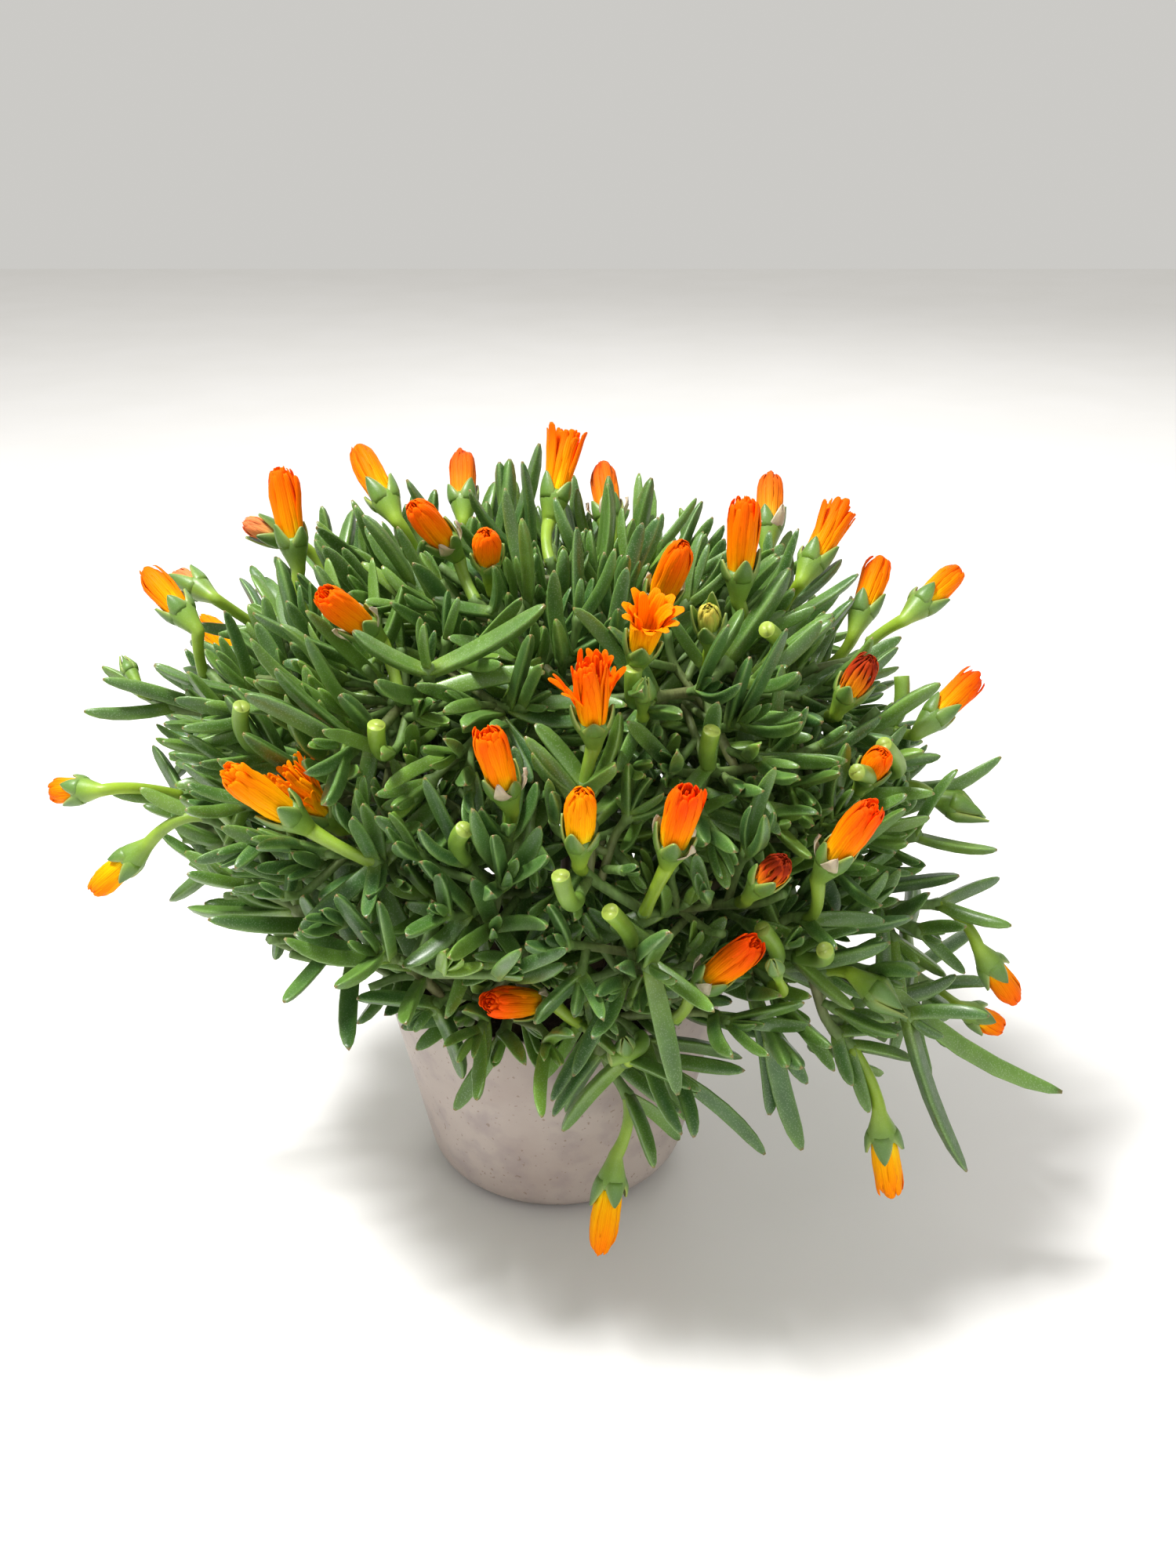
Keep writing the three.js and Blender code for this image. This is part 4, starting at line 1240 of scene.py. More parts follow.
    def _find_pair(self, shoot: Shoot, plan: PairPlan) -> LeafPair | None:
        """Turns and shortens a pair of leaves until it is clear.

        Args:
            shoot: the shoot that bears it.
            plan: how it is to stand.

        Returns:
            The pair, or None where no try is clear.
        """
        back = plan.back
        for bend in bends_of(shoot.line):
            if abs(bend - plan.back) < BEND_ROOM:
                back = bend + BEND_ROOM
                break
        place = back_along(shoot.line, back)
        if place is None or back_along(shoot.line, back + 2 * PLANT.node_half) is None:
            return None
        centre, axis = place
        first = side_of(axis)
        radii = [room * plan.scale for room in plan.rooms]
        near = self.placed.within(centre, plan.length + plan.rooms[0])
        for attempt in range(plan.tries):
            swing = (1 if attempt % 2 else -1) * math.ceil(attempt / 2) * RULE.pair_turn
            side = turned(first, axis, plan.turn + swing)
            size = plan.length * (1 - RULE.pair_shrink * attempt)
            lines = [leaf_line(centre, axis, way, plan.angle, size, plan.lift) for way in (side, -side)]
            if all(self._is_clear(line, radii, shoot.number, near) for line in lines):
                return LeafPair(centre, axis, back, side, lines, plan.scale)
        return None

    def _is_clear(
        self, line: Sequence[Vec], radii: Sequence[float], shoot: int, among: np.ndarray
    ) -> bool:
        """Tells whether a leaf touches nothing.

        Args:
            line: the leaf's middle line.
            radii: clearance radii of its body and of its tip.
            shoot: the shoot that bears it.
            among: the limbs to look at.

        Returns:
            Whether it is clear.
        """
        return self.placed.room(line, radii, Clearances.NO_STEM, shoot, among) >= 0

    def _grow_pairs(self) -> None:
        """Grows the pairs of leaves that the solids have, the youngest first."""
        for age, kind in enumerate(PAIR_KINDS):
            for shoot in self.shoots:
                if age not in PAIR_AGES[shoot.kind]:
                    continue
                turn = 2 * math.pi * draw(shoot.number, Draw.TURN) + (age * math.pi) / 2
                spread = between(*kind.angles, draw(shoot.number, Draw.ANGLE + age))
                wider = 0 if shoot.kind is Kind.LEAFY else RULE.stalk_spread
                length = between(*kind.lengths, draw(shoot.number, Draw.LENGTH + age))
                angle = math.radians(spread + wider)
                plan = PairPlan(kind.back, kind.scale, turn, angle, length, ROOMS.pair, RULE.pair_tries)
                pair = self._find_pair(shoot, plan)
                if pair:
                    self._put_leaves(shoot, pair, ROOMS.pair)
                    shoot.pairs.append(pair)

    def _keep_sight_clear(self) -> None:
        """Keeps further leaves from standing in front of what the photograph shows."""
        eye = np.array(VIEW.eye, float)
        for shoot in self.shoots:
            site = shoot.site
            if site is None or site.is_hidden:
                continue
            towards = unit(eye - site.root)
            for shift in MORE.stalk_sight:
                line = [site.root + towards * shift, site.mouth + towards * shift]
                self.placed.put(line, [MORE.stalk_sight_radius], -1, -1)
            for shift in MORE.head_sight if site.kind is Kind.BLOOM else ():
                line = [site.mouth + towards * shift, site.tip + towards * shift]
                self.placed.put(line, [MORE.head_sight_radius], -1, -1)

    def _grow_little_stalks(self) -> None:
        """Grows the small stubs and green buds among the leaves."""
        sites = [self._site_from(row, 0, Kind.STALK) for row in MORE_STUBS]
        sites += [self._site_from(row, PLANT.bud_length, Kind.BUD) for row in MORE_BUDS]
        for site in sites:
            number = len(self.shoots) + len(self.side_shoots)
            root = site.root
            shoot = Shoot(root, CROWN.outward(root), self._stem_for(root), number, site.kind, site)
            aim = unit(shoot.aim + UP * RULE.shoot_rise)
            _, shoot.line = self._shoot_line(shoot, aim, MORE.radius, MORE.line_tries)
            self.placed.put([root, site.mouth], [PLANT.peduncle_radius], shoot.stem, number)
            radii = [MORE.radius] * (len(shoot.line) - 1)
            self.placed.put(shoot.line, radii, shoot.stem, number, wood=True)
            self.side_shoots.append(shoot)

    def _grow_side_shoots(self) -> None:
        """Grows thinner leafy shoots, at the pixels given for them and then shell by shell."""
        for pixel, depth in LOW_ENDS:
            self._grow_side_shoot(VIEW.at_depth(pixel, depth), 0)
        ends = np.array([shoot.end for shoot in self.shoots + self.side_shoots])
        for swell, spacing in MORE.shells:
            for i in range(MORE.shoot_tries):
                end = self._shell_point(i, MORE.shoot_tries, swell)
                if ((ends - end) ** 2).sum(1).min() < spacing**2:
                    continue
                if is_inside(FOLIAGE_EDGE, VIEW.pixel_of(end)) and self._grow_side_shoot(end, MORE.rise):
                    ends = np.concatenate([ends, [end]])

    def _grow_side_shoot(self, end: Vec, rise: float) -> bool:
        """Grows one thinner leafy shoot, if there is room for it.

        Args:
            end: where it ends.
            rise: how much it turns upwards at its end.

        Returns:
            Whether there was room.
        """
        number = len(self.shoots) + len(self.side_shoots)
        shoot = Shoot(end, CROWN.outward(end), self._stem_for(end), number, Kind.LEAFY)
        sway = [draw(number, Draw.WANDER + i) for i in range(3)]
        aim = unit(shoot.aim + UP * rise + MORE.wander * (2 * np.array(sway) - 1))
        room, shoot.line = self._shoot_line(shoot, aim, MORE.radius, MORE.line_tries)
        if room < MORE.least_room:
            return False
        radii = [MORE.radius] * (len(shoot.line) - 1)
        self.placed.put(shoot.line, radii, shoot.stem, number, wood=True)
        self.side_shoots.append(shoot)
        return True

    def _grow_more_pairs(self) -> None:
        """Grows further pairs on every shoot, first roomy ones and then closer ones."""
        for rooms in MORE.rooms:
            for age, kind in enumerate(MORE_PAIRS):
                for shoot in self.shoots + self.side_shoots:
                    self._grow_more_pair(shoot, age, kind, rooms)

    @staticmethod
    def _has_node_near(shoot: Shoot, age: int, kind: PairKind) -> bool:
        """Tells whether a shoot already bears leaves where a further pair would stand.

        Args:
            shoot: the shoot.
            age: the pair's number from the shoot's end, 0 for the little pair at its very end.
            kind: the pair's place and size.

        Returns:
            Whether another pair is too near.
        """
        youngest = MORE_PAIRS[0].scale
        alike = [pair for pair in shoot.more if pair.scale == kind.scale]
        grown = [pair for pair in shoot.pairs + shoot.more if age and pair.scale != youngest]
        return any(abs(pair.back - kind.back) < MORE.node_spacing for pair in alike + grown)

    def _grow_more_pair(self, shoot: Shoot, age: int, kind: PairKind, rooms: tuple[float, float]) -> None:
        """Grows one further pair of leaves, if there is room for it inside the foliage's edge.

        Args:
            shoot: the shoot that bears it.
            age: the pair's number from the shoot's end.
            kind: its place and ranges.
            rooms: clearance radii of a leaf's body and of its tip.
        """
        if age == 0 and shoot.kind not in (Kind.LEAFY, Kind.LONG):
            return
        if self._has_node_near(shoot, age, kind):
            return
        turn = 2 * math.pi * draw(shoot.number, Draw.MORE_TURN) + age * math.pi / 2
        spread = between(*kind.angles, draw(shoot.number, Draw.MORE_ANGLE + age))
        length = between(*kind.lengths, draw(shoot.number, Draw.MORE_LENGTH + age))
        lift = between(*MORE.lifts, draw(shoot.number, Draw.MORE_LIFT + age))
        angle = math.radians(spread)
        for share in MORE.shorter:
            size = length * share
            plan = PairPlan(kind.back, kind.scale, turn, angle, size, rooms, MORE.pair_tries, lift)
            pair = self._find_pair(shoot, plan)
            if pair and all(is_inside(FOLIAGE_EDGE, VIEW.pixel_of(line[-1])) for line in pair.lines):
                self._put_leaves(shoot, pair, rooms)
                shoot.more.append(pair)
                break


def frames_along(points: np.ndarray, side: Vec | None = None) -> tuple[np.ndarray, np.ndarray]:
    """Carries a frame along a line of points without twisting it.

    Args:
        points: the line, as n x 3.
        side: where the frame's first side points at the start, or None for any side.

    Returns:
        The frames' first and second sides.
    """
    axes = np.gradient(points, axis=0)
    axes /= np.linalg.norm(axes, axis=1)[:, None]
    first = side_of(axes[0]) if side is None else side
    firsts = []
    for axis in axes:
        first = unit(first - axis * (first @ axis))
        firsts.append(first)
    firsts = np.array(firsts)
    return firsts, np.cross(axes, firsts)


def curve_points(start: Vec, pull: Vec, end: Vec, shares: np.ndarray) -> np.ndarray:
    """Finds points of a curve that is pulled towards a third point.

    Args:
        start: where it starts.
        pull: the point that it is pulled towards.
        end: where it ends.
        shares: places along it from 0 to 1.

    Returns:
        A point for each share.
    """
    t = shares[:, None]
    return start * (1 - t) ** 2 + pull * (2 * (1 - t) * t) + end * t**2


class Form:
    """A mesh gathered from closed lofts, each point with three tint channels for its material."""

    TINT = "tint"

    def __init__(self) -> None:
        """Starts with no surface."""
        self.points: list[np.ndarray] = []
        self.tints: list[np.ndarray] = []
        self.quads: list[np.ndarray] = []
        self.triangles: list[np.ndarray] = []
        self.count = 0

    def loft(self, rings: np.ndarray, tints: np.ndarray) -> None:
        """Adds a closed surface through rings of points.

        Args:
            rings: points in millimetres, as rings x sides x 3.
            tints: channels from 0 to 1, of the same shape.
        """
        count, sides, _ = rings.shape
        ends = np.stack([rings[0].mean(0), rings[-1].mean(0)])
        end_tints = np.stack([tints[0].mean(0), tints[-1].mean(0)])
        self.points += [rings.reshape(-1, 3), ends]
        self.tints += [np.broadcast_to(tints, rings.shape).reshape(-1, 3), end_tints]
        first = self.count
        lower = first + np.arange((count - 1) * sides).reshape(count - 1, sides)
        onward = np.roll(lower, -1, axis=1)
        self.quads.append(np.stack([lower, onward, onward + sides, lower + sides], -1).reshape(-1, 4))
        base = first + count * sides
        low = first + np.arange(sides)
        high = low + (count - 1) * sides
        self.triangles.append(np.stack([np.roll(low, -1), low, np.full(sides, base)], -1))
        self.triangles.append(np.stack([high, np.roll(high, -1), np.full(sides, base + 1)], -1))
        self.count = base + 2

    def tube(self, points: Sequence[Vec], radii: Sequence[float], sides: int, tints: np.ndarray) -> None:
        """Adds a round tube along a line.

        Args:
            points: the line.
            radii: the radius at each of its points.
            sides: how many sides the tube has.
            tints: the three tint channels at each of its points.
        """
        line = np.array(points)
        first, second = frames_along(line)
        turn = np.linspace(0, 2 * math.pi, sides, endpoint=False)
        wide = np.array(radii)[:, None, None]
        across = np.cos(turn)[None, :, None] * first[:, None] + np.sin(turn)[None, :, None] * second[:, None]
        rings = line[:, None] + wide * across
        self.loft(rings, np.broadcast_to(tints[:, None], rings.shape))

    def build(self, name: str, finish: bpy.types.Material) -> bpy.types.Object:
        """Makes the mesh object, in metres, with smooth faces.

        Args:
            name: the object's name.
            finish: its material.

        Returns:
            The object, linked into the scene.
        """
        points = np.concatenate(self.points) * MM
        quads = np.concatenate(self.quads)
        triangles = np.concatenate(self.triangles)
        corners = np.concatenate([quads.ravel(), triangles.ravel()])
        totals = np.concatenate([np.full(len(quads), 4), np.full(len(triangles), 3)])
        mesh = bpy.data.meshes.new(name)
        mesh.vertices.add(len(points))
        mesh.vertices.foreach_set("co", points.ravel())
        mesh.loops.add(len(corners))
        mesh.loops.foreach_set("vertex_index", corners)
        mesh.polygons.add(len(totals))
        mesh.polygons.foreach_set("loop_start", np.concatenate([[0], np.cumsum(totals)[:-1]]))
        mesh.polygons.foreach_set("loop_total", totals)
        mesh.update(calc_edges=True)
        tints = np.concatenate(self.tints)
        colours = np.concatenate([tints, np.ones((len(tints), 1))], axis=1)
        layer = mesh.color_attributes.new(self.TINT, "FLOAT_COLOR", "POINT")
        layer.data.foreach_set("color", colours.ravel())
        mesh.shade_smooth()
        mesh.materials.append(finish)
        obj = bpy.data.objects.new(name, mesh)
        bpy.context.scene.collection.objects.link(obj)
        log.info("%s: %d triangles", name, 2 * len(quads) + len(triangles))
        return obj


class Graph:
    """A node tree with short calls for adding and joining nodes."""

    def __init__(self, tree: bpy.types.NodeTree) -> None:
        """Takes the tree that it adds to."""
        self.tree = tree

    def add(self, kind: str, **settings: object) -> bpy.types.Node:
        """Adds a node and sets its properties.

        Args:
            kind: the node's type name.
            settings: properties of the node by name.

        Returns:
            The node.
        """
        node = self.tree.nodes.new(kind)
        for name, value in settings.items():
            setattr(node, name, value)
        return node

    def join(self, source: Socket, target: Socket) -> None:
        """Joins an output to an input."""
        self.tree.links.new(source, target)

    def feed(self, node: bpy.types.Node, name: str | int, value: object) -> None:
        """Joins a socket to an input, or sets the input to a plain value."""
        target = node.inputs[name]
        if isinstance(value, Socket):
            self.join(value, target)
        else:
            target.default_value = value

    def math(self, operation: str, *values: object) -> Socket:
        """Adds a Math node.

        Args:
            operation: what it works out.
            values: its inputs, as sockets or numbers.

        Returns:
            The result.
        """
        node = self.add("ShaderNodeMath", operation=operation)
        for i, value in enumerate(values):
            self.feed(node, i, value)
        return node.outputs[0]

    def mix(self, share: object, first: object, second: object, blend: str = "MIX") -> Socket:
        """Mixes two colours.

        Args:
            share: how much of the second shows, as a socket or number.
            first: a colour or a socket.
            second: a colour or a socket.
            blend: how the second goes over the first.

        Returns:
            The mixed colour.
        """
        node = self.add("ShaderNodeMix", data_type="RGBA", blend_type=blend)
        share_input, first_input, second_input, colour_output = 0, 6, 7, 2
        self.feed(node, share_input, share)
        for place, colour in ((first_input, first), (second_input, second)):
            self.feed(node, place, colour if isinstance(colour, Socket) else (*colour, 1))
        return node.outputs[colour_output]

    def ramp(self, share: Socket, stops: Ramp) -> Socket:
        """Adds a colour ramp.

        Args:
            share: the place on the ramp.
            stops: its places and colours.

        Returns:
            The colour.
        """
        node = self.add("ShaderNodeValToRGB")
        elements = node.color_ramp.elements
        while len(elements) < len(stops):
            elements.new(1)
        for element, (place, colour) in zip(elements, stops):
            element.position = place
            element.color = (*colour, 1)
        self.join(share, node.inputs[0])
        return node.outputs[0]

    def span(self, value: Socket, low: float, high: float, start: float = 0, end: float = 1) -> Socket:
        """Stretches a value from one range to another.

        Args:
            value: what is stretched.
            low: the value that becomes start.
            high: the value that becomes end.
            start: the result at and below low.
            end: the result at and above high.

        Returns:
            The result.
        """
        node = self.add("ShaderNodeMapRange", clamp=True)
        for name, number in (("From Min", low), ("From Max", high), ("To Min", start), ("To Max", end)):
            node.inputs[name].default_value = number
        self.join(value, node.inputs["Value"])
        return node.outputs[0]

    def noise(self, size: float, detail: float = 3, stretch: Sequence[float] = ()) -> Socket:
        """Adds noise that is fixed to the object.

        Args:
            size: size of its features in millimetres.
            detail: how much finer noise it has.
            stretch: how much closer together it is in each direction, if it isn't even.

        Returns:
            The noise, from 0 to 1.
        """
        place = self.add("ShaderNodeTexCoord").outputs["Object"]
        if stretch:
            mapping = self.add("ShaderNodeMapping")
            mapping.inputs["Scale"].default_value = tuple(stretch)
            self.join(place, mapping.inputs[0])
            place = mapping.outputs[0]
        node = self.add("ShaderNodeTexNoise")
        node.inputs["Scale"].default_value = 1 / (size * MM)
        node.inputs["Detail"].default_value = detail
        self.join(place, node.inputs["Vector"])
        return node.outputs[0]


@dataclass(frozen=True)
class LivingSkin:
    """The shared effect of a living skin: uneven colour with fine pale dots, and its relief."""

    name: str = "living_skin"
    patch_size: float = 7
    patch_shade: Colour = (0.1, 0.16, 0.1)
    patch_strength: float = 0.32
    dot_size: float = 0.55
    dot_reach: tuple[float, float] = (0.18, 0.42)
    dot_colour: Colour = (0.5, 0.62, 0.42)
    dot_height: float = 0.6
    grain_size: float = 1.6

    def group(self) -> bpy.types.NodeTree:
        """Returns the node group, which is made at the first call."""
        return bpy.data.node_groups.get(self.name) or self._make()

    def _make(self) -> bpy.types.NodeTree:
        """Makes the node group."""
        tree = bpy.data.node_groups.new(self.name, "ShaderNodeTree")
        for label, kind, direction in (
            ("Color", "NodeSocketColor", "INPUT"),
            ("Dots", "NodeSocketFloat", "INPUT"),
            ("Color", "NodeSocketColor", "OUTPUT"),
            ("Height", "NodeSocketFloat", "OUTPUT"),
        ):
            tree.interface.new_socket(name=label, in_out=direction, socket_type=kind)
        graph = Graph(tree)
        given = graph.add("NodeGroupInput")
        result = graph.add("NodeGroupOutput")
        colour = given.outputs["Color"]
        patches = graph.span(graph.noise(self.patch_size), 0.3, 0.7)
        cells = graph.add("ShaderNodeTexVoronoi", feature="F1")
        cells.inputs["Scale"].default_value = 1 / (self.dot_size * MM)
        graph.join(graph.add("ShaderNodeTexCoord").outputs["Object"], cells.inputs["Vector"])
        dots = graph.span(cells.outputs["Distance"], *self.dot_reach, 1, 0)
        darker = graph.mix(self.patch_strength, colour, self.patch_shade, "MULTIPLY")
        uneven = graph.mix(patches, darker, colour)
        share = graph.math("MULTIPLY", dots, given.outputs["Dots"])
        graph.join(graph.mix(share, uneven, self.dot_colour), result.inputs["Color"])
        raised = graph.math("MULTIPLY", dots, self.dot_height)
        height = graph.math("ADD", raised, graph.noise(self.grain_size))
        graph.join(height, result.inputs["Height"])
        return tree


SKIN = LivingSkin()


@dataclass(frozen=True)
class Surface:
    """What a finish feeds into its shader."""

    colour: Socket
    height: Socket
    roughness: Socket | None = None


class Finish:
    """A procedural material, which each kind of surface completes."""

    name = "finish"
    roughness = 0.5
    specular = 0.5
    coat = 0.0
    coat_roughness = 0.22
    subsurface = 0.0
    subsurface_radius: Colour = (1.0, 1.0, 1.0)
    subsurface_depth = 2
    bump = 0.2
    bump_depth = 0.15

    def make(self) -> bpy.types.Material:
        """Makes the material."""
        material = bpy.data.materials.new(self.name)
        material.use_nodes = True
        graph = Graph(material.node_tree)
        shader = material.node_tree.nodes["Principled BSDF"]
        uniform = {
            "Roughness": self.roughness,
            "Specular IOR Level": self.specular,
            "Coat Weight": self.coat,
            "Coat Roughness": self.coat_roughness,
            "Subsurface Weight": self.subsurface,
            "Subsurface Radius": self.subsurface_radius,
            "Subsurface Scale": self.subsurface_depth * MM,
        }
        for name, value in uniform.items():
            shader.inputs[name].default_value = value
        surface = self.surface(graph)
        graph.join(surface.colour, shader.inputs["Base Color"])
        if surface.roughness is not None:
            graph.join(surface.roughness, shader.inputs["Roughness"])
        bump = graph.add("ShaderNodeBump")
        bump.inputs["Strength"].default_value = self.bump
        bump.inputs["Distance"].default_value = self.bump_depth * MM
        graph.join(surface.height, bump.inputs["Height"])
        graph.join(bump.outputs[0], shader.inputs["Normal"])
        return material

    def surface(self, graph: Graph) -> Surface:
        """Adds the nodes of what changes over the surface.

        Args:
            graph: the material's tree.

        Returns:
            Their results.
        """
        raise NotImplementedError

    @staticmethod
    def tints(graph: Graph) -> tuple[Socket, ...]:
        """Returns the three tint channels of the mesh."""
        layer = graph.add("ShaderNodeAttribute", attribute_name=Form.TINT)
        parts = graph.add("ShaderNodeSeparateColor")
        graph.join(layer.outputs["Color"], parts.inputs[0])
        return tuple(parts.outputs[i] for i in range(3))

    @staticmethod
    def skin(graph: Graph, colour: Socket, dots: float) -> tuple[Socket, Socket]:
        """Lays the shared effect of a living skin over a colour.

        Args:
            graph: the material's tree.
            colour: the colour below.
            dots: how strongly the pale dots show.

        Returns:
            The colour and the height.
        """
        group = graph.add("ShaderNodeGroup", node_tree=SKIN.group())
        graph.join(colour, group.inputs["Color"])
        graph.feed(group, "Dots", dots)
        return group.outputs["Color"], group.outputs["Height"]


class LeafFinish(Finish):
    """Waxy leaves, cooler in patches, with paler ridges, a yellow-green foot and a tan tip."""

    name = "leaf"
    roughness = 0.42
    coat = 0.2
    subsurface = 0.08
    subsurface_radius = (0.5, 1.0, 0.3)
    dots = 0.16
    body: Ramp = (
        (0.1, (0.038, 0.096, 0.01)),
        (0.45, (0.068, 0.159, 0.015)),
        (0.7, (0.12, 0.24, 0.024)),
        (0.9, (0.195, 0.33, 0.031)),
    )
    cool_size = 38
    cool: Colour = (0.037, 0.12, 0.032)
    ridge: Colour = (0.22, 0.38, 0.08)
    foot: Colour = (0.26, 0.38, 0.05)
    tip: Colour = (0.3, 0.11, 0.04)

    def surface(self, graph: Graph) -> Surface:
        """Returns what changes over a leaf."""
        along, ridge, tone = self.tints(graph)
        body = graph.ramp(tone, self.body)
        patches = graph.span(graph.noise(self.cool_size, 1), 0.42, 0.62, 0, 0.6)
        cooled = graph.mix(patches, body, self.cool)
        edge = graph.math("MULTIPLY", graph.math("POWER", ridge, 2.5), 0.5)
        ridged = graph.mix(edge, cooled, self.ridge)
        footed = graph.mix(graph.span(along, 0.0, 0.22, 0.65, 0), ridged, self.foot)
        tipped = graph.mix(graph.span(along, 0.955, 1.0, 0, 0.85), footed, self.tip)
        colour, height = self.skin(graph, tipped, self.dots)
        return Surface(colour, height, graph.span(graph.noise(2.5), 0.3, 0.7, 0.34, 0.52))


class WoodFinish(Finish):
    """Stems that turn from green at the tips to brown below."""

    name = "wood"
    roughness = 0.6
    bump = 0.5
    bump_depth = 0.4
    body: Ramp = (
        (0.1, (0.075, 0.05, 0.026)),
        (0.4, (0.12, 0.095, 0.042)),
        (0.65, (0.15, 0.17, 0.055)),
        (0.9, (0.13, 0.23, 0.05)),
    )
    streak: Colour = (0.35, 0.3, 0.24)
    streak_size = 1.1
    streak_stretch = (1, 1, 0.25)
    tone_reach = 0.25

    def surface(self, graph: Graph) -> Surface:
        """Returns what changes over the wood."""
        youth, _, tone = self.tints(graph)
        streaks = graph.noise(self.streak_size, 5, self.streak_stretch)
        shift = graph.math("MULTIPLY", graph.math("SUBTRACT", tone, 0.5), self.tone_reach)
        body = graph.ramp(graph.math("ADD", youth, shift), self.body)
        share = graph.span(streaks, 0.35, 0.65, 0.45, 0)
        return Surface(graph.mix(share, body, self.streak, "MULTIPLY"), streaks)


class StalkFinish(Finish):
    """Bright yellow-green stalks, green calyxes with pale margins, papery flakes and pale cut faces."""

    name = "stalk"
    roughness = 0.45
    coat = 0.05
    subsurface = 0.12
    subsurface_radius = (0.6, 1.0, 0.3)
    dots = 0.06
    body: Ramp = (
        (0, (0.25, 0.38, 0.02)),
        (0.22, (0.33, 0.48, 0.022)),
        (0.45, (0.19, 0.33, 0.028)),
        (0.7, (0.11, 0.22, 0.026)),
        (0.92, (0.085, 0.175, 0.024)),
        (0.97, (0.62, 0.5, 0.36)),
    )
    shade: Colour = (0.1, 0.22, 0.06)
    margin: Colour = (0.45, 0.5, 0.11)

    def surface(self, graph: Graph) -> Surface:
        """Returns what changes over stalks and calyxes."""
        along, margin, tone = self.tints(graph)
        toned = graph.mix(graph.span(tone, 0, 1, 0, 0.35), graph.ramp(along, self.body), self.shade)
        margined = graph.mix(graph.math("MULTIPLY", margin, 0.6), toned, self.margin)
        return Surface(*self.skin(graph, margined, self.dots))


# Colours of petals at the foot, low down, high up and at the tip
PETAL_PLACES = (0.1, 0.3, 0.62, 0.95)
PETAL_COLOURS: dict[Look, tuple[Colour, ...]] = {
    Look.ORANGE: ((1.0, 0.56, 0.006), (1.0, 0.3, 0.001), (1.0, 0.2, 0.001), (0.96, 0.12, 0.001)),
    Look.YELLOW: ((1.0, 0.68, 0.012), (1.0, 0.46, 0.002), (1.0, 0.34, 0.001), (1.0, 0.22, 0.001)),
    Look.AMBER: ((0.85, 0.45, 0.03), (0.82, 0.24, 0.01), (0.75, 0.14, 0.008), (0.65, 0.08, 0.008)),
    Look.RED: ((1.0, 0.55, 0.008), (1.0, 0.3, 0.001), (1.0, 0.17, 0.001), (0.95, 0.075, 0.002)),
    Look.SALMON: ((0.8, 0.5, 0.14), (0.85, 0.32, 0.1), (0.85, 0.22, 0.08), (0.78, 0.14, 0.05)),
    Look.PALE: ((0.3, 0.42, 0.06), (0.34, 0.45, 0.06), (0.45, 0.5, 0.08), (0.6, 0.48, 0.08)),
    Look.DRIED: ((1.0, 0.45, 0.01), (0.95, 0.27, 0.008), (0.5, 0.05, 0.008), (0.16, 0.012, 0.006)),
}


class PetalFinish(Finish):
    """Thin petals with fine veins, yellow at the foot and redder at the tip."""

    roughness = 0.55
    specular = 0.03
    subsurface = 0.1
    subsurface_radius = (1.0, 0.4, 0.05)
    bump = 0.4
    bump_depth = 0.12
    veins = 5
    vein: Colour = (0.85, 0.55, 0.4)
    tone_reach = 0.28

    def __init__(self, look: Look) -> None:
        """Takes the colours of one look."""
        self.name = "petal_" + look.name.lower()
        self.colours = PETAL_COLOURS[look]

    def surface(self, graph: Graph) -> Surface:
        """Returns what changes over a petal."""
        along, across, tone = self.tints(graph)
        shift = graph.math("MULTIPLY", graph.math("SUBTRACT", tone, 0.5), self.tone_reach)
        body = graph.ramp(graph.math("ADD", along, shift), tuple(zip(PETAL_PLACES, self.colours)))
        off_middle = graph.math("ABSOLUTE", graph.math("SUBTRACT", across, 0.5))
        edged = graph.mix(graph.span(off_middle, 0.3, 0.5, 0, 0.3), body, self.colours[-1])
        wave = graph.math("SINE", graph.math("MULTIPLY", across, 2 * math.pi * self.veins))
        veins = graph.math("ADD", graph.math("MULTIPLY", wave, 0.5), graph.noise(0.9))
        colour = graph.mix(graph.span(veins, 0.2, 0.9, 0.35, 0), edged, self.vein, "MULTIPLY")
        return Surface(colour, veins, graph.span(graph.noise(3), 0.3, 0.7, 0.42, 0.6))


